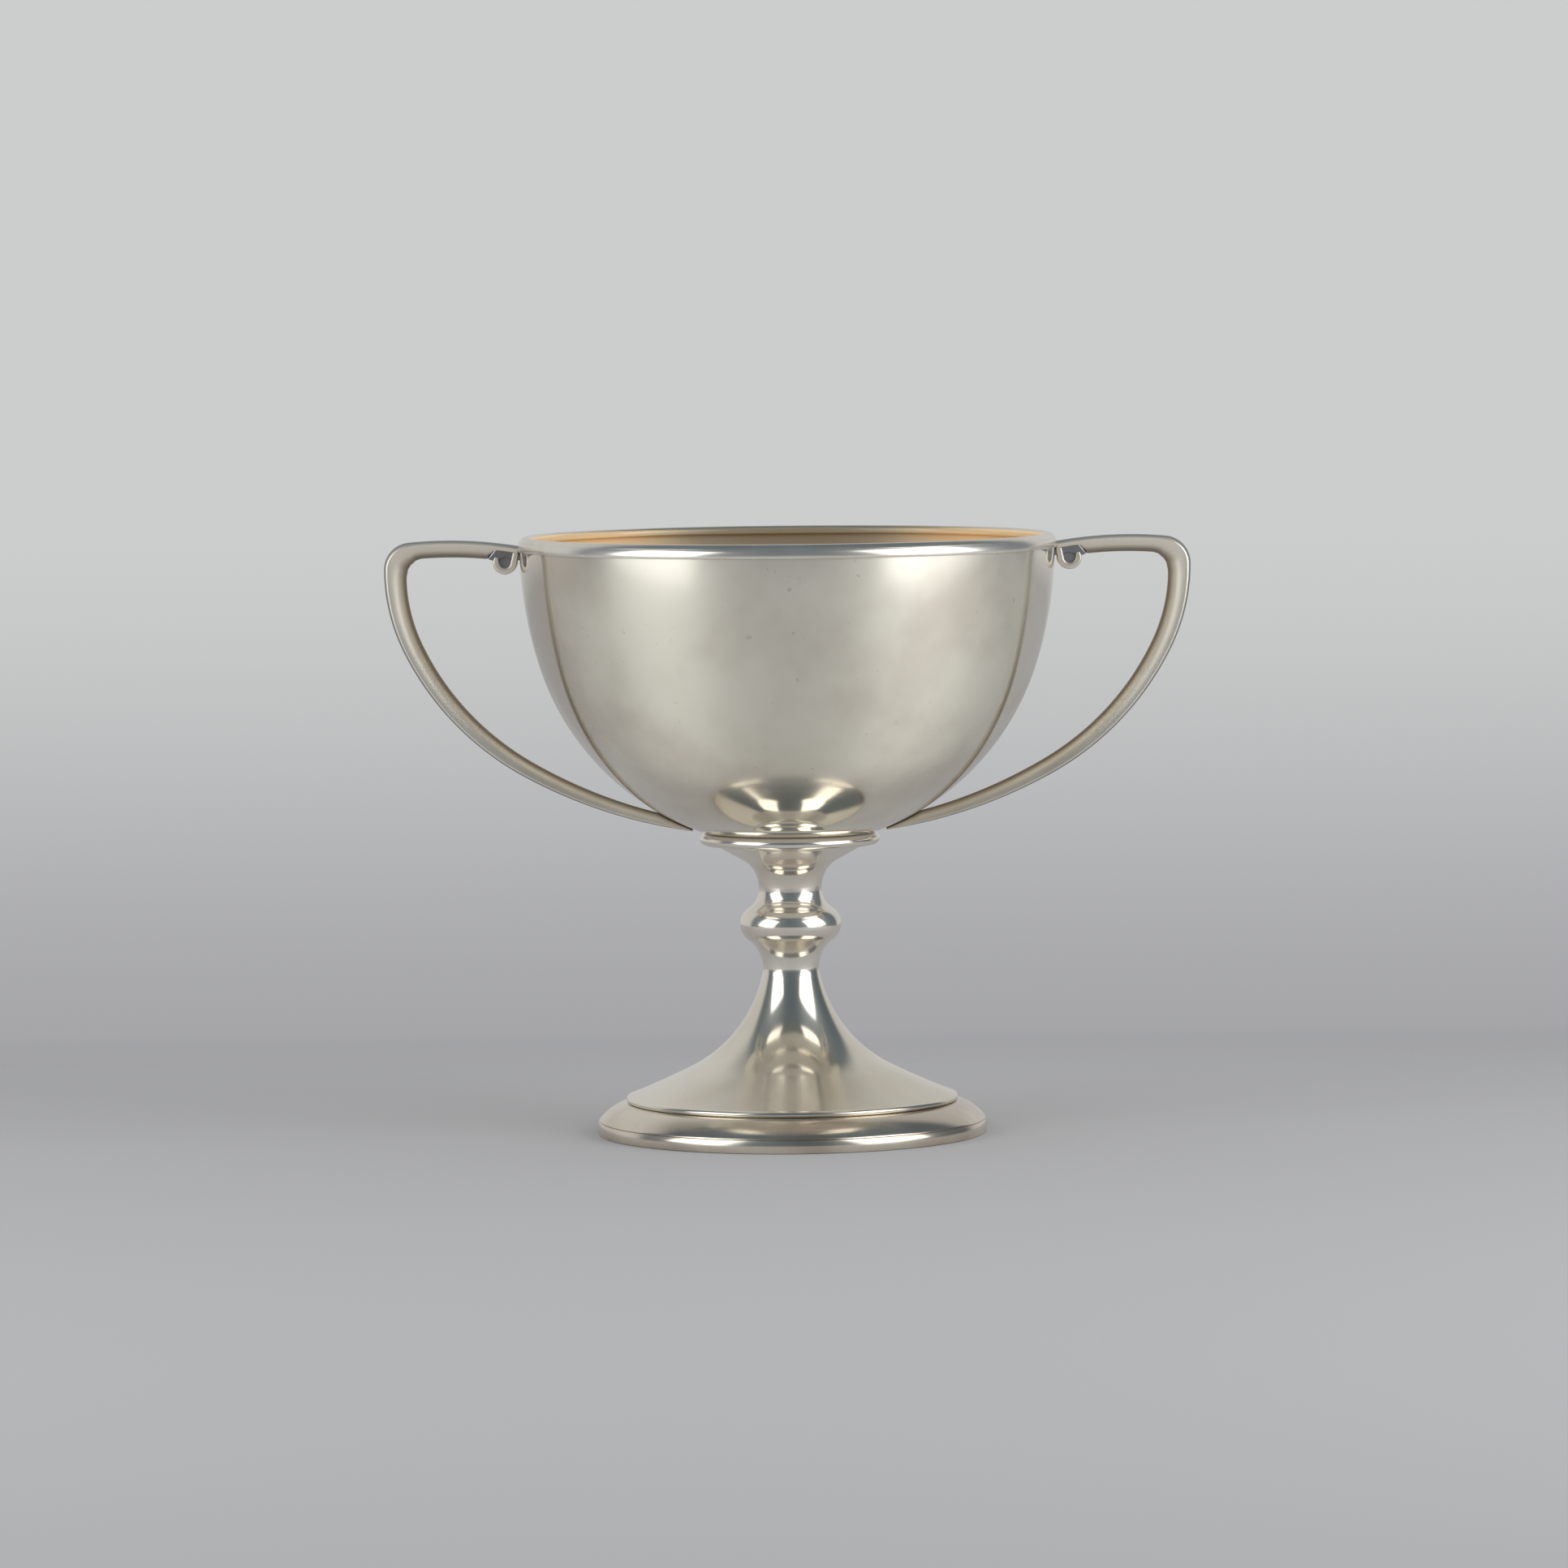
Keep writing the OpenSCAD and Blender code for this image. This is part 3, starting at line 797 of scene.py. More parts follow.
def eased(knots: Sequence[Point], s: float) -> float:
    """Reads a value between knots along a curve that keeps within them.

    Args:
        knots: places and values, in rising order of place.
        s: the place to read.

    Returns:
        The value.
    """
    if s <= knots[0][0]:
        return knots[0][1]
    if s >= knots[-1][0]:
        return knots[-1][1]
    i = next(k for k in range(len(knots) - 1) if knots[k + 1][0] >= s)
    slopes = [(b[1] - a[1]) / (b[0] - a[0]) for a, b in zip(knots, knots[1:])]

    def tangent(k: int) -> float:
        """Slope at a knot, level where the values turn."""
        if k in (0, len(knots) - 1):
            return slopes[0] if k == 0 else slopes[-1]
        a, b = slopes[k - 1], slopes[k]
        return 0.0 if a * b <= 0 else 2 * a * b / (a + b)

    (x0, y0), (x1, y1) = knots[i], knots[i + 1]
    h = x1 - x0
    t = (s - x0) / h
    return (
        y0 * (1 + 2 * t) * (1 - t) ** 2
        + h * tangent(i) * t * (1 - t) ** 2
        + y1 * t * t * (3 - 2 * t)
        + h * tangent(i + 1) * t * t * (t - 1)
    )


# The cup's sub-assemblies


@dataclass
class Foot:
    """The wire, the crowned band and the hollow trumpet foot."""

    wire_c: float = 47.0
    wire_face: float = 4.5
    wire_h: float = 3.6
    wire_in: float = 46.0
    wire_flat: float = 0.15
    chamfer: float = 0.25
    band_r: float = 51.0
    band_top: float = 8.4
    band_crown: float = 14.0
    band_edge: float = 0.3
    band_turn: float = 0.2
    band_proud: float = 0.05
    band_play: float = 0.15
    band_under: float = 0.2
    band_t: float = 1.2
    groove: float = 0.1
    foot_r: float = 43.8
    neck: Point = NECK
    neck_arc: float = 10.0
    neck_turn: float = 13.0
    sweep_arc: float = 36.0
    sweep_turn: float = 63.0
    flare_arc: float = 200.0
    wall: float = 1.2
    land: float = 2.4
    lip_r: float = 0.8
    lip_gap: float = 0.03
    lip_root: float = 0.5
    lip_turn: float = 72.0
    around: int = 320

    def build(self, finishes: Finishes) -> list[bpy.types.Object]:
        """Builds the three pieces.

        Args:
            finishes: the cup's finishes.

        Returns:
            The pieces.
        """
        base, silver = [finishes.get(Finishes.base_silver)], [finishes.get(Finishes.foot_silver)]
        return [
            new_piece("base_wire_polished", self._wire(), base, "silver", "base_wire"),
            new_piece("base_band_crowned", self._band(), base, "silver", "base_band"),
            new_piece("trumpet_foot", self._trumpet(), silver, "silver", "foot"),
        ]

    def _wire(self) -> bpy.types.Mesh:
        """The rounded wire that the cup stands on.

        Returns:
            Its mesh.
        """
        half = math.degrees(math.asin((self.wire_h / 2 - self.wire_flat) / self.wire_face))
        inner, outer, cut = self.wire_in, self.band_r - self.groove, self.chamfer
        line = Outline().to(inner, cut).to(inner + cut, 0.0).to(outer, 0.0)
        line.arc((self.wire_c, self.wire_h / 2), self.wire_face, -half, half, 24)
        line.to(outer, self.wire_h).to(inner + cut, self.wire_h).to(inner, self.wire_h - cut)
        return turned("base_wire_polished", line, self.around)

    def _band(self) -> bpy.types.Mesh:
        """The band with a rounded outside between the wire and the step.

        Returns:
            Its mesh.
        """
        inner, outer = (self.foot_r + self.band_play, self.band_top), (self.band_r, self.wire_h + self.band_edge)
        run = (outer[0] - inner[0], outer[1] - inner[1])
        length = math.hypot(*run)
        drop = math.sqrt(self.band_crown**2 - (length / 2) ** 2)
        middle = ((inner[0] + outer[0]) / 2, (inner[1] + outer[1]) / 2)
        centre = (middle[0] + run[1] / length * drop, middle[1] - run[0] / length * drop)
        start = math.degrees(math.atan2(inner[1] - centre[1], inner[0] - centre[0]))
        end = math.degrees(math.atan2(outer[1] - centre[1], outer[0] - centre[0]))
        under = self.foot_r - self.land + self.band_under
        line = Outline().to(under, self.band_top).to(*inner)
        line.arc(centre, self.band_crown, start, end, 28)
        line.to(self.band_r + self.band_proud, outer[1] - self.band_turn).to(self.band_r - self.groove, self.wire_h)
        line.to(self.band_r - self.band_t, self.wire_h)
        line.arc(centre, self.band_crown - self.band_t, end, start, 20)
        line.to(under, self.band_top - self.band_t)
        return turned("base_band_crowned", line, self.around)

    def _trumpet(self) -> bpy.types.Mesh:
        """The trumpet foot, hollow below, with a bead on its edge.

        Returns:
            Its mesh.
        """
        r0, z0 = self.neck
        neck, sweep, flare = self.neck_arc, self.sweep_arc, self.flare_arc
        a, b = math.radians(self.neck_turn), math.radians(self.sweep_turn)
        neck_c = (r0 + neck, z0)
        p1 = (neck_c[0] - neck * math.cos(a), z0 - neck * math.sin(a))
        sweep_c = (p1[0] + sweep * math.cos(a), p1[1] + sweep * math.sin(a))
        p2 = (sweep_c[0] - sweep * math.cos(b), sweep_c[1] - sweep * math.sin(b))
        flare_c = (p2[0] + flare * math.cos(b), p2[1] + flare * math.sin(b))
        lip_c = (self.foot_r - self.lip_r, self.band_top + self.lip_gap + self.lip_r)
        start = math.degrees(math.acos((flare_c[0] - lip_c[0]) / flare))
        near, far, root = 180 + self.neck_turn, 180 + self.sweep_turn, lip_c[0] - self.lip_root
        line = Outline().to(self.foot_r - self.land, self.band_top).to(root, self.band_top)
        line.to(root, self.band_top + self.lip_gap)
        line.arc(lip_c, self.lip_r, -90, self.lip_turn, 24)
        line.arc(flare_c, flare, 180 + start, far, 40)
        line.arc(sweep_c, sweep, far, near, 64)
        line.arc(neck_c, neck, near, 180, 16)
        line.to(r0 - self.wall, z0)
        line.arc(neck_c, neck + self.wall, 180, near, 8)
        line.arc(sweep_c, sweep + self.wall, near, far, 40)
        inner = math.degrees(math.acos((flare_c[0] - self.foot_r + self.land) / (flare + self.wall)))
        line.arc(flare_c, flare + self.wall, far, 180 + inner, 24)
        return turned("trumpet_foot", line, self.around)


@dataclass
class Stem:
    """The ringed knop and the dished collar under the bowl."""

    neck: Point = NECK
    low_cove: float = 9.0
    ring: Point = (8.35, 55.174)
    ring_tube: float = 5.0
    high_cove: float = 5.7
    high_neck: float = 8.35
    high_z: float = 64.229
    top: float = 65.029
    bore: float = 2.8
    collar_bore: float = 6.4
    collar_cove: float = 8.3
    cove_turn: float = 57.0
    flat_r: float = 19.962
    disc_z: float = 76.329
    disc_r: float = 23.7
    disc_t: float = 2.9
    fillet_turn: float = 44.0
    fillet_out: float = 0.8
    seat_gap: float = 0.05
    bowl_z: float = BOWL_Z
    bowl_r: float = BOWL_R

    def build(self, finishes: Finishes) -> list[bpy.types.Object]:
        """Builds the knop and the collar.

        Args:
            finishes: the cup's finishes.

        Returns:
            The pieces.
        """
        silver = [finishes.get(Finishes.stem_silver)]
        return [
            new_piece("ring_knop", self._knop(), silver, "silver", "knop"),
            new_piece("dished_collar", self._collar(), silver, "silver", "collar"),
        ]

    def _knop(self) -> bpy.types.Mesh:
        """A rounded ring between two hollows.

        Returns:
            Its mesh.
        """
        low_c = (self.neck[0] + self.low_cove, self.neck[1])
        high_c = (self.high_neck + self.high_cove, self.high_z)
        low = math.degrees(math.atan2(low_c[1] - self.ring[1], low_c[0] - self.ring[0]))
        high = math.degrees(math.atan2(high_c[1] - self.ring[1], high_c[0] - self.ring[0]))
        line = Outline().to(self.bore, self.neck[1])
        line.arc(low_c, self.low_cove, 180, 180 + low, 32)
        line.arc(self.ring, self.ring_tube, low, high, 48)
        line.arc(high_c, self.high_cove, 180 + high, 180, 28)
        line.to(self.high_neck, self.top, 2).to(self.bore, self.top)
        return turned("ring_knop", line, 240)

    def _collar(self) -> bpy.types.Mesh:
        """The disc that the bowl sits in, hollowed under its edge.

        Returns:
            Its mesh.
        """
        cove_c = (self.high_neck + self.collar_cove, self.top)
        seat = self.bowl_r + self.seat_gap
        edge_c = (self.disc_r - self.disc_t / 2, self.disc_z + self.disc_t / 2)
        rim = math.sqrt(seat**2 - (self.bowl_z - self.disc_z - self.disc_t) ** 2)
        line = Outline().to(self.collar_bore, self.top)
        line.arc(cove_c, self.collar_cove, 180, 180 - self.cove_turn, 36)
        line.to(self.flat_r, self.disc_z, 6).to(edge_c[0], self.disc_z, 2)
        line.arc(edge_c, self.disc_t / 2, -90, self.fillet_turn, 24)
        fillet, inner = (math.degrees(math.acos(r / seat)) for r in (rim + self.fillet_out, self.collar_bore))
        line.arc((0.0, self.bowl_z), seat, -fillet, -inner, 12)
        return turned("dished_collar", line, 280)


@dataclass
class Vessel:
    """The bowl with its gilding and the wire round its mouth."""

    radius: float = BOWL_R
    centre_z: float = BOWL_Z
    flare: float = 105.0
    flare_start: float = 18.3
    wall: float = 1.0
    wall_top: float = 156.729
    mouth_r: float = 70.441
    rim_top: float = 157.929
    rim_h: float = 3.8
    rim_lip: float = 2.2
    rim_proud: float = 0.45
    rim_inset: float = 1.75
    rim_round: float = 1.3
    rim_face: float = 3.2
    rim_belly: float = 1.0
    rim_root: float = 0.3
    rim_edge: float = 0.12
    rim_turn: float = 3.0
    round_steps: int = 16
    slot_out: float = 0.05
    slot_in: float = 0.08
    around: int = 320

    def build(self, finishes: Finishes) -> list[bpy.types.Object]:
        """Builds the bowl and its rim.

        Args:
            finishes: the cup's finishes.

        Returns:
            The pieces.
        """
        silver, gilt = finishes.get(Finishes.bowl_silver), finishes.get(Finishes.gilding)
        rim = finishes.get(Finishes.rim_silver)
        return [
            new_piece("gilt_lined_bowl", self._bowl(), [silver, gilt], "silver", "bowl"),
            new_piece("rim_wire_polished", self._rim(), [rim, gilt], "silver", "rim_wire"),
        ]

    def _skin(self, line: Outline, inset: float, upward: bool) -> None:
        """Draws the bowl's curve on one side of its sheet.

        Args:
            line: the outline to draw on.
            inset: how far the curve lies inside the bowl's outside.
            upward: draw from the bottom to the mouth, or back.
        """
        turn, more = math.radians(self.flare_start), self.flare - self.radius
        flare_c = (-more * math.cos(turn), self.centre_z + more * math.sin(turn))
        end = math.degrees(math.asin((self.wall_top - flare_c[1]) / (self.flare - inset)))
        parts = [
            ((0.0, self.centre_z), self.radius - inset, -90.0, -self.flare_start, 96),
            (flare_c, self.flare - inset, -self.flare_start, end, 40),
        ]
        for centre, radius, a, b, steps in parts if upward else reversed(parts):
            line.arc(centre, radius, *((a, b) if upward else (b, a)), steps)

    def _bowl(self) -> bpy.types.Mesh:
        """The raised bowl, silver outside and gilt inside.

        Returns:
            Its mesh.
        """
        line = Outline()
        self._skin(line, 0.0, True)
        outside = len(line.points)
        self._skin(line, self.wall, False)
        return turned("gilt_lined_bowl", line, self.around, range(outside, len(line.points) - 1))

    def _rim(self) -> bpy.types.Mesh:
        """The rounded wire over the edge of the bowl.

        Returns:
            Its mesh.
        """
        out, inside = self.mouth_r + self.rim_proud, self.mouth_r - self.wall - self.rim_inset
        low, r = self.rim_top - self.rim_h, self.rim_round
        slot_out, slot_in = self.mouth_r + self.slot_out, self.mouth_r - self.wall - self.slot_in
        face_c = (out - self.rim_face, low + self.rim_belly)
        first_turn = self.rim_turn - math.degrees(math.asin(self.rim_belly / self.rim_face))
        last_turn = math.degrees(math.asin((self.rim_h - self.rim_belly - self.rim_edge) / self.rim_face))
        line = Outline().to(slot_out, low + self.rim_root).to(out - self.rim_root, low + self.rim_edge)
        line.arc(face_c, self.rim_face, first_turn, last_turn, 28)
        line.arc((inside + r, self.rim_top - r), r, 90, 180, self.round_steps)
        gilt = len(line.points) - self.round_steps // 2
        lip = self.rim_top - self.rim_lip
        line.to(inside, lip + self.rim_root).to(inside + self.rim_root, lip)
        line.to(slot_in, lip).to(slot_in, self.wall_top).to(slot_out, self.wall_top)
        return turned("rim_wire_polished", line, self.around, range(gilt, len(line.points) - 2))


@dataclass
class Handle:
    """One handle, from the rim out and down to a point on the bowl, with the scroll under its bar."""

    side: Side
    start: Point = (71.011, 155.629)
    arcs: tuple[tuple[float, float, int], ...] = (
        (111.0, 5.2, 40), (7.2, 90.0, 24), (50.0, 116.4, 24), (76.0, 151.2, 36),
    )
    lift: float = -9.6
    last_arc: float = 128.5
    last_steps: int = 60
    seat: float = 68.72
    bowl_z: float = BOWL_Z
    tip: float = 0.6
    cuts: tuple[Point, ...] = ((0.0, 1.8), (5.3, 1.8), (7.3, 4.4))
    bar_depth: float = 4.4
    before_corner: tuple[Point, ...] = ((-3.4, 4.5), (-1.5, 4.9), (0.0, 5.95))
    corner_depth: float = 6.42
    after_corner: tuple[Point, ...] = ((0.0, 6.35), (2.0, 5.95), (5.0, 5.8))
    low_depth: float = 4.4
    end_depth: float = 3.0
    bar_width: float = 7.6
    low_width: float = 6.2
    end_width: float = 2.4
    squareness: float = 2.2
    belly: float = 0.2
    taper: float = 0.35
    into_rim: float = 0.4
    points: int = 72
    scroll_x: float = 70.921
    scroll_z: float = 151.479
    scroll_r: float = 3.3
    scroll_top: float = 153.629
    scroll_eye: float = 1.45
    scroll_w: float = 6.4
    scroll_end: float = 30.0
    scroll_square: float = 5.0
    scroll_shade: float = 0.3
    scroll_steps: int = 60
    stem: float = 1.7
    stem_lean: float = 0.4
    stem_in: float = 0.25
    stem_steps: int = 6
    thin_from: float = 40.0
    thin_end: float = 0.62
    round_end: float = 0.25
    round_over: float = 8.0
    eye_under: float = 0.3
    eye_sink: float = 1.0
    eye_steps: int = 32
    neck_sink: float = 0.35
    neck: tuple[Point, ...] = (
        (-2.5, 0.6), (-3.921, 0.4), (-3.771, 2.15), (-1.821, 2.721), (2.179, 3.241), (3.329, 1.821),
        (4.279, 0.821), (2.95, 0.3), (1.0, 1.1), (0.0, 1.4), (-1.0, 1.1),
    )

    def build(self, finishes: Finishes) -> list[bpy.types.Object]:
        """Builds the handle and its scroll.

        Args:
            finishes: the cup's finishes.

        Returns:
            The pieces.
        """
        silver = [finishes.get(Finishes.handle_silver), finishes.get(Finishes.shaded_sunk_silver)]
        word = self.side.name.lower()
        across = [self._share(k, self.belly, self.squareness) for k in range(self.points)]
        bar = swept(f"{word}_handle_bar", self._rings(), across)
        strip = swept("scroll_strip", self._scroll_rings(), [self.scroll_shade] * self.points)
        curl = joined(f"{word}_handle_scroll", strip, *self._scroll_eye())
        return [
            new_piece(bar.name, bar, silver[:1], "silver", f"{word}_handle"),
            new_piece(curl.name, curl, silver, "silver", f"{word}_scroll"),
        ]

    def _line(self) -> list[tuple[Point, float, float]]:
        """The outer edge as places, headings below the level and lengths so far.

        Returns:
            The stations along it.
        """
        stations: list[tuple[Point, float, float]] = []
        p, heading, length = self.start, math.radians(self.lift), 0.0

        def run(radius: float, to: float, steps: int) -> None:
            """Adds one curve up to its last place."""
            nonlocal p, heading, length
            h0, p0, s0 = heading, p, length
            for k in range(steps):
                h = h0 + (to - h0) * k / steps
                q = (p0[0] + radius * (math.sin(h) - math.sin(h0)), p0[1] + radius * (math.cos(h) - math.cos(h0)))
                stations.append((q, h, s0 + radius * (h - h0)))
            p = (p0[0] + radius * (math.sin(to) - math.sin(h0)), p0[1] + radius * (math.cos(to) - math.cos(h0)))
            heading, length = to, s0 + radius * (to - h0)

        for radius, to, steps in self.arcs:
            run(radius, math.radians(to), steps)
        centre = (p[0] - self.last_arc * math.sin(heading), p[1] - self.last_arc * math.cos(heading))
        bx, bz = -centre[0], self.bowl_z - centre[1]
        far = math.hypot(bx, bz)
        swing = math.acos((self.last_arc**2 + far**2 - (self.seat + self.tip) ** 2) / (2 * self.last_arc * far))
        run(self.last_arc, math.atan2(bx, bz) % (2 * math.pi) - swing, self.last_steps)
        stations.append((p, heading, length))
        return stations

    def _rings(self) -> list[list[Vector]]:
        """Outlines along the handle, deeper across its corner and cut off level over the scroll.

        Returns:
            The rings, in metres.
        """
        line = self._line()
        marks = [line[sum(a[2] for a in self.arcs[:k])][2] for k in range(5)]
        end = line[-1][2]
        depths = (
            (0.0, self.bar_depth),
            *((marks[1] + off, depth) for off, depth in self.before_corner),
            ((marks[1] + marks[2]) / 2, self.corner_depth),
            *((marks[2] + off, depth) for off, depth in self.after_corner),
            (marks[4], self.low_depth),
            (end, self.end_depth),
        )
        widths = (
            (0.0, self.bar_width), (marks[3], self.bar_width), (marks[4], self.low_width), (end, self.end_width),
        )
        rings = []
        for i, (p, h, s) in enumerate(line):
            n = (-math.sin(h), -math.cos(h))
            qx, qz = p[0], p[1] - self.bowl_z
            b = qx * n[0] + qz * n[1]
            d = b * b - (qx * qx + qz * qz) + self.seat**2
            room = -b - math.sqrt(d) if d > 0 else UNCUT
            depth = min(eased(depths, s), room if room > 0 else UNCUT)
            if i == len(line) - 1:
                depth = self.tip
            cut = eased(self.cuts, s) if s < self.cuts[-1][0] else UNCUT
            rings.append(self._section(p, n, depth, eased(widths, s), self.squareness, self.belly, self.taper, cut))
        run_in = Vector((-self.side.value * math.cos(line[0][1]), 0.0, math.sin(line[0][1]))) * self.into_rim * MM
        rings.insert(0, [point + run_in for point in rings[0]])
        return rings

    def _share(self, k: int, belly: float, square: float) -> float:
        """How deep one point of a section lies, as a share of the depth.

        Args:
            k: the point's number.
            belly: where the section is widest.
            square: how flat the section's sides are.

        Returns:
            0 at the outer edge, 1 at the inner one.
        """
        s = math.sin(2 * math.pi * k / self.points)
        reach = belly if s > 0 else 1 - belly
        return belly - reach * math.copysign(abs(s) ** (2 / square), s)

    def _section(
        self, p: Point, n: Point, depth: float, width: float, square: float,
        belly: float = 0.5, taper: float = 0.0, cut: float = UNCUT,
    ) -> list[Vector]:
        """One outline of the handle: an oval with flattened sides, cut off level where it is thinner.

        Args:
            p: the place of its outer edge.
            n: the direction inwards.
            depth: the oval's depth along that direction.
            width: its width from front to back.
            square: how flat its sides are.
            belly: where it is widest, as a share of the depth.
            taper: the share of its width that it loses towards the inside.
            cut: the depth at which it is cut off.

        Returns:
            Its points, in metres.
        """
        ring = []
        for k in range(self.points):
            c = math.cos(2 * math.pi * k / self.points)
            y = width / 2 * math.copysign(abs(c) ** (2 / square), c)
            share = self._share(k, belly, square)
            d = min(depth * share, cut)
            ring.append(Vector((self.side.value * (p[0] + n[0] * d), y * (1 - taper * share), p[1] + n[1] * d)) * MM)
        return ring

    def _scroll_rings(self) -> list[list[Vector]]:
        """Outlines along the scroll's raised strip, from its stem on the bowl round to its free end.

        Returns:
            The rings, in metres.
        """
        x, z, r = self.scroll_x, self.scroll_z, self.scroll_r
        depth = r - self.scroll_eye
        rise = self.scroll_top + self.stem_in - z
        rings = []
        for k in range(self.stem_steps):
            share = k / self.stem_steps
            place = (x - self.stem_lean * (1 - share), z + rise * (1 - share))
            deep = self.stem + (depth - self.stem) * share
            rings.append(self._section(place, (1.0, 0.0), deep, self.scroll_w, self.scroll_square))
        turn = 180 + self.scroll_end
        for k in range(self.scroll_steps + 1):
            a = math.radians(180 + turn * k / self.scroll_steps)
            left = turn * (1 - k / self.scroll_steps)
            share = 1.0 if left > self.thin_from else self.thin_end + (1 - self.thin_end) * left / self.thin_from
            deep = depth * min(share, self.round_end + left / self.round_over)
            out = (math.cos(a), math.sin(a))
            mid = (r + self.scroll_eye) / 2 if left < self.thin_from else r - deep / 2
            edge = min(r, mid + deep / 2)
            place = (x + r + edge * out[0], z + edge * out[1])
            rings.append(self._section(place, (-out[0], -out[1]), deep, self.scroll_w, self.scroll_square))
        return rings

    def _scroll_eye(self) -> list[bpy.types.Mesh]:
        """The sunk eye of the scroll, and the neck that joins it to the bar, both in a darkened silver that paints
        the shade in the scroll's hollows.

        Returns:
            Their meshes.
        """
        x, z, half = self.scroll_x + self.scroll_r, self.scroll_z, self.scroll_w / 2
        eye = self.scroll_eye + self.eye_under
        turns = [2 * math.pi * k / self.eye_steps for k in range(self.eye_steps)]
        disc = [(x + eye * math.cos(a), z + eye * math.sin(a)) for a in turns]
        neck = [(x + across, z + up) for across, up in self.neck]
        return [
            self._plate("scroll_eye", disc, half - self.eye_sink),
            self._plate("scroll_neck", neck, half - self.neck_sink),
        ]

    def _plate(self, name: str, line: Sequence[Point], half: float) -> bpy.types.Mesh:
        """A flat plate in the plane of the handle, with the second finish, a darkened silver that paints shade.

        Args:
            name: the mesh's name.
            line: its outline.
            half: half its thickness.

        Returns:
            The mesh.
        """
        bm = bmesh.new()
        rows = [
            [bm.verts.new((self.side.value * px * MM, y * MM, pz * MM)) for px, pz in line] for y in (-half, half)
        ]
        for row in rows:
            bm.faces.new(row)
        bridge(bm, *rows)
        mesh = finished(name, bm, PLATE_EDGE)
        mesh.polygons.foreach_set("material_index", [1] * len(mesh.polygons))
        return mesh


@dataclass
class InnerFixing:
    """The steel boss, rod, washer and nut that hold bowl, stem and foot together."""

    rod_r: float = 2.5
    rod_low: float = 25.56
    rod_high: float = 72.53
    pitch: float = 0.8
    thread_depth: float = 0.42
    thread_high: float = 35.0
    thread_step: float = 0.08
    run_out: float = 1.5
    point: float = 0.5
    rod_around: int = 48
    nut_top: float = 31.16
    nut_h: float = 4.0
    nut_flats: float = 8.0
    nut_play: float = 0.06
    nut_around: int = 72
    chamfer: float = 0.985
    chamfer_slope: float = 0.55

    def build(self, finishes: Finishes) -> list[bpy.types.Object]:
        """Dresses the boss and the washer, and builds the threaded rod and the nut.

        Args:
            finishes: the cup's finishes.

        Returns:
            The pieces.
        """
        steel = finishes.get(Finishes.fixing_steel)
        kept = [frame["nodes"][name] for name in ("bowl_boss", "washer")]
        for piece in kept:
            piece.data.materials.clear()
            piece.data.materials.append(steel)
        return [
            *kept,
            new_piece("threaded_rod", self._rod(), [steel], "fixing_steel", "tie_rod"),
            new_piece("chamfered_nut", self._nut(), [steel], "fixing_steel", "nut"),
        ]

    def _rod(self) -> bpy.types.Mesh:
        """The rod, with a screw thread on its lower end.

        Returns:
            Its mesh.
        """
        around, step, rings = self.rod_around, self.thread_step, []
        heights = [self.rod_low + step * k for k in range(round((self.thread_high - self.rod_low) / step))]
        for z in [*heights, self.thread_high, self.rod_high]:
            deep = self.thread_depth * min(1.0, max(self.thread_high - z, 0.0) / self.run_out)
            ring = []
            for k in range(around):
                turn = ((z - self.rod_low) / self.pitch - k / around) % 1.0
                r = min(self.rod_r - deep * abs(2 * turn - 1), self.rod_r - self.point + (z - self.rod_low))
                a = 2 * math.pi * k / around
                ring.append(Vector((r * math.cos(a), r * math.sin(a), z)) * MM)
            rings.append(ring)
        return swept("threaded_rod", rings)

    def _nut(self) -> bpy.types.Mesh:
        """A six-sided nut with turned chamfers and a thread bore.

        Returns:
            Its mesh.
        """
        bm = bmesh.new()
        around, hole, third = self.nut_around, self.rod_r + self.nut_play, math.pi / 3
        face = self.nut_flats / 2 * self.chamfer
        rows: list[list[bmesh.types.BMVert]] = [[] for _ in range(6)]
        for k in range(around):
            a = 2 * math.pi * k / around
            side = self.nut_flats / 2 / math.cos((a + third / 2) % third - third / 2)
            over = max(side - face, 0.0) * self.chamfer_slope
            low, high = self.nut_top - self.nut_h, self.nut_top
            corners = ((hole, low), (face, low), (side, low + over), (side, high - over), (face, high), (hole, high))
            for row, (r, z) in zip(rows, corners):
                row.append(bm.verts.new((r * MM * math.cos(a), r * MM * math.sin(a), z * MM)))
        for a, b in zip(rows, rows[1:] + rows[:1]):
            bridge(bm, a, b)
        return finished("chamfered_nut", bm, NUT_EDGE)


# The studio


@dataclass(frozen=True)
class SoftBox:
    """One lamp: its place and size in metres, power in watts and lean in radians."""

    lamp: Lamp
    place: Place
    size: Point
    power: float
    lean: float


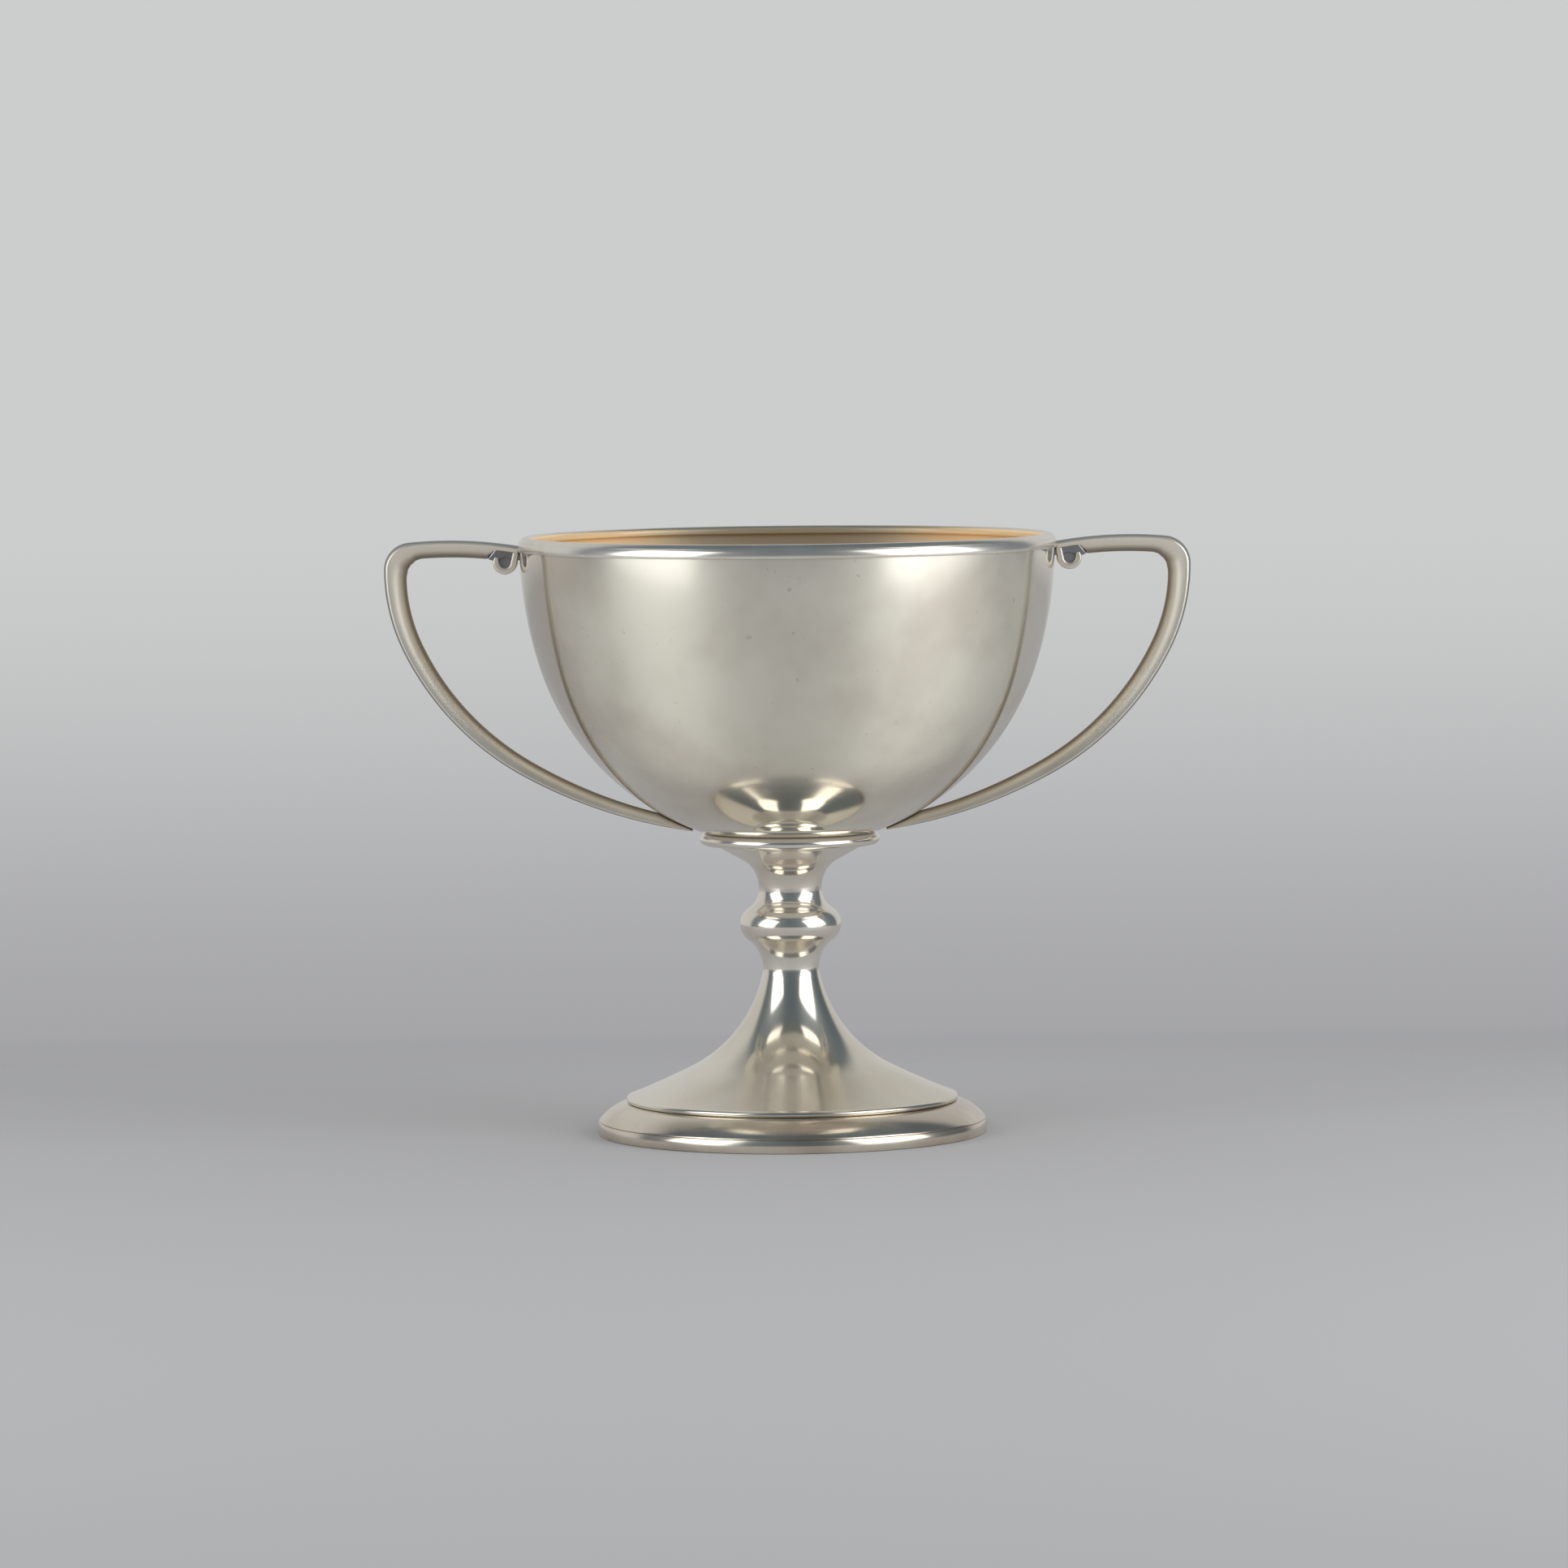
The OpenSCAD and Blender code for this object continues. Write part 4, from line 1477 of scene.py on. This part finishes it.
@dataclass
class Studio:
    """Floor, soft boxes, surroundings and camera."""

    focal: float = 9204.0
    frame: float = 1932.0
    sensor: float = 36.0
    eye: Place = (-0.0014, -1.965, 0.229)
    aim: Place = (-0.0014, 0.0, 0.09215)
    roll: float = 0.55
    floor_colour: Colour = (0.46, 0.46, 0.47)
    floor_r: float = 3.6
    floor_far: Point = (0.7, 0.98)
    floor_half: float = 1.2
    floor_side: float = 0.85
    floor_back: Point = (0.08, 0.27)
    floor_hole: float = 0.0505
    hole_edge: float = 0.0002
    boxes: tuple[SoftBox, ...] = (
        SoftBox(Lamp.LEFT, (-0.69, -0.50, 0.37), (0.74, 0.84), 4.3, -0.25),
        SoftBox(Lamp.RIGHT, (0.72, -0.43, 0.40), (0.88, 0.92), 6.3, 0.25),
    )
    box_aim: Place = (0.0, 0.0, 0.30)
    box_colour: Colour = (0.97, 0.985, 1.0)
    box_edge: float = 0.16
    ambient: Colour = (0.66, 0.66, 0.66)
    sky_low: Colour = (0.375, 0.375, 0.39)
    sky_high: Colour = (0.605, 0.61, 0.61)
    sky_fade: Point = (-0.11, -0.03)
    ceiling: Colour = (0.15, 0.15, 0.15)
    ceiling_fade: Point = (0.6, 0.95)
    room_low: Colour = (0.38, 0.38, 0.38)
    room_high: Colour = (0.085, 0.115, 0.145)
    room_fade: Point = (-0.14, -0.03)
    behind_turn: float = 0.25
    behind_fade: Point = (0.36, 0.56)

    def build(self) -> None:
        """Sets up everything round the cup."""
        bpy.context.scene.view_settings.view_transform = "Standard"
        self._floor()
        self._lamps()
        self._surroundings()
        self._camera()

    def _floor(self) -> None:
        """A pale table top that fades into the background, clear from below so that the foot's inside shows."""
        bm = bmesh.new()
        bmesh.ops.create_circle(bm, cap_ends=True, segments=128, radius=self.floor_r)
        mesh = bpy.data.meshes.new("pale_floor")
        bm.to_mesh(mesh)
        bm.free()
        floor = bpy.data.objects.new("pale_floor", mesh)
        bpy.context.scene.collection.objects.link(floor)
        made = bpy.data.materials.new("pale_paper")
        made.use_nodes = True
        made.node_tree.nodes.clear()
        n = Nodes(made.node_tree)
        paper = n.add("ShaderNodeBsdfDiffuse")
        paper.inputs["Color"].default_value = rgba(self.floor_colour)
        clear = n.add("ShaderNodeBsdfTransparent")
        place = n.add("ShaderNodeTexCoord").outputs["Object"]
        length = n.add("ShaderNodeVectorMath", operation="LENGTH")
        n.feed(length.inputs[0], place)
        split, reach = n.split(place), length.outputs["Value"]
        side = n.ramp(n.math("ABSOLUTE", split["X"]), self.floor_half * self.floor_side, self.floor_half)
        far = n.ramp(reach, *(self.floor_r * share for share in self.floor_far))
        fade = n.math("MAXIMUM", n.math("MAXIMUM", side, far), n.ramp(split["Y"], *self.floor_back))
        under = n.ramp(reach, self.floor_hole - self.hole_edge, self.floor_hole, 1.0, 0.0)
        under = n.math("MAXIMUM", under, n.add("ShaderNodeNewGeometry").outputs["Backfacing"])
        fade = n.math("MAXIMUM", fade, under)
        blend = n.add("ShaderNodeMixShader")
        n.feed(blend.inputs[0], fade)
        n.feed(blend.inputs[1], paper.outputs[0])
        n.feed(blend.inputs[2], clear.outputs[0])
        n.feed(n.add("ShaderNodeOutputMaterial").inputs["Surface"], blend.outputs[0])
        mesh.materials.append(made)

    def _lamps(self) -> None:
        """Tall soft boxes left and right of the cup, towards the camera."""
        for box in self.boxes:
            data = bpy.data.lights.new(box.lamp.value, "AREA")
            data.shape = "RECTANGLE"
            data.size, data.size_y = box.size
            data.energy = box.power
            data.color = self.box_colour
            self._soften(data)
            lit = bpy.data.objects.new(box.lamp.value, data)
            bpy.context.scene.collection.objects.link(lit)
            lit.visible_camera = False
            lit.location = box.place
            lit.rotation_mode = "QUATERNION"
            facing = (Vector(self.box_aim) - Vector(box.place)).to_track_quat("-Z", "Y")
            lit.rotation_quaternion = facing @ Quaternion((0, 0, 1), box.lean)

    def _soften(self, data: bpy.types.AreaLight) -> None:
        """Lets a soft box fall off towards its edges.

        Args:
            data: the lamp.
        """
        data.use_nodes = True
        n = Nodes(data.node_tree)
        split = n.split(n.add("ShaderNodeNewGeometry").outputs["Parametric"])
        glow: object = 1.0
        for axis in ("X", "Y"):
            off = n.math("ABSOLUTE", n.math("SUBTRACT", split[axis], 0.5))
            glow = n.math("MULTIPLY", glow, n.ramp(off, 0.5 - self.box_edge, 0.5, 1.0, 0.0))
        n.feed(data.node_tree.nodes["Emission"].inputs["Strength"], glow)

    def _surroundings(self) -> None:
        """A plain pale background, and a room that the silver mirrors."""
        world = bpy.data.worlds.new("studio_room")
        bpy.context.scene.world = world
        world.use_nodes = True
        world.node_tree.nodes.clear()
        n = Nodes(world.node_tree)
        split = n.split(n.add("ShaderNodeTexCoord").outputs["Generated"])
        up = split["Z"]
        sky = n.mix(n.ramp(up, *self.sky_fade), rgba(self.sky_low), rgba(self.sky_high))
        plain = n.mix(n.ramp(up, *self.ceiling_fade), sky, rgba(self.ceiling))
        room = n.mix(n.ramp(up, *self.room_fade), rgba(self.room_low), rgba(self.room_high))
        aside = n.math("MULTIPLY", split["X"], self.behind_turn)
        behind = n.ramp(n.math("SUBTRACT", split["Y"], aside), *self.behind_fade)
        path = n.add("ShaderNodeLightPath")
        mirrored = n.math("MAXIMUM", path.outputs["Is Glossy Ray"], path.outputs["Is Transmission Ray"])
        shown = n.math("MAXIMUM", path.outputs["Is Camera Ray"], n.math("MULTIPLY", mirrored, behind))
        lit = n.mix(path.outputs["Is Diffuse Ray"], room, rgba(self.ambient))
        colour = n.mix(shown, lit, plain)
        background = n.add("ShaderNodeBackground")
        n.feed(background.inputs["Color"], colour)
        background.inputs["Strength"].default_value = 1.0
        n.feed(n.add("ShaderNodeOutputWorld").inputs["Surface"], background.outputs[0])

    def _camera(self) -> None:
        """The photograph's camera, which leans a little to one side."""
        data = bpy.data.cameras.new("camera")
        data.sensor_width = self.sensor
        data.lens = self.focal / self.frame * self.sensor
        data.clip_start, data.clip_end = 0.05, 50.0
        camera = bpy.data.objects.new("camera", data)
        bpy.context.scene.collection.objects.link(camera)
        ahead = (Vector(self.aim) - Vector(self.eye)).normalized()
        right = ahead.cross(Vector((0.0, 0.0, 1.0))).normalized()
        up = right.cross(ahead)
        lean = math.radians(self.roll)
        side = right * math.cos(lean) - up * math.sin(lean)
        top = up * math.cos(lean) + right * math.sin(lean)
        turn = Matrix((side, top, -ahead)).transposed().to_4x4()
        camera.matrix_world = Matrix.Translation(Vector(self.eye)) @ turn
        bpy.context.scene.camera = camera


def main() -> None:
    """Builds the cup piece by piece, then the studio."""
    logging.basicConfig(level=logging.INFO, format="%(name)s: %(message)s")
    finishes = Finishes()
    for assembly in (Foot(), Stem(), Vessel(), Handle(Side.LEFT), Handle(Side.RIGHT), InnerFixing()):
        for piece in assembly.build(finishes):
            LOG.info("%s: %d faces", piece.name, len(piece.data.polygons))
    Studio().build()


if __name__ == "__main__":
    main()
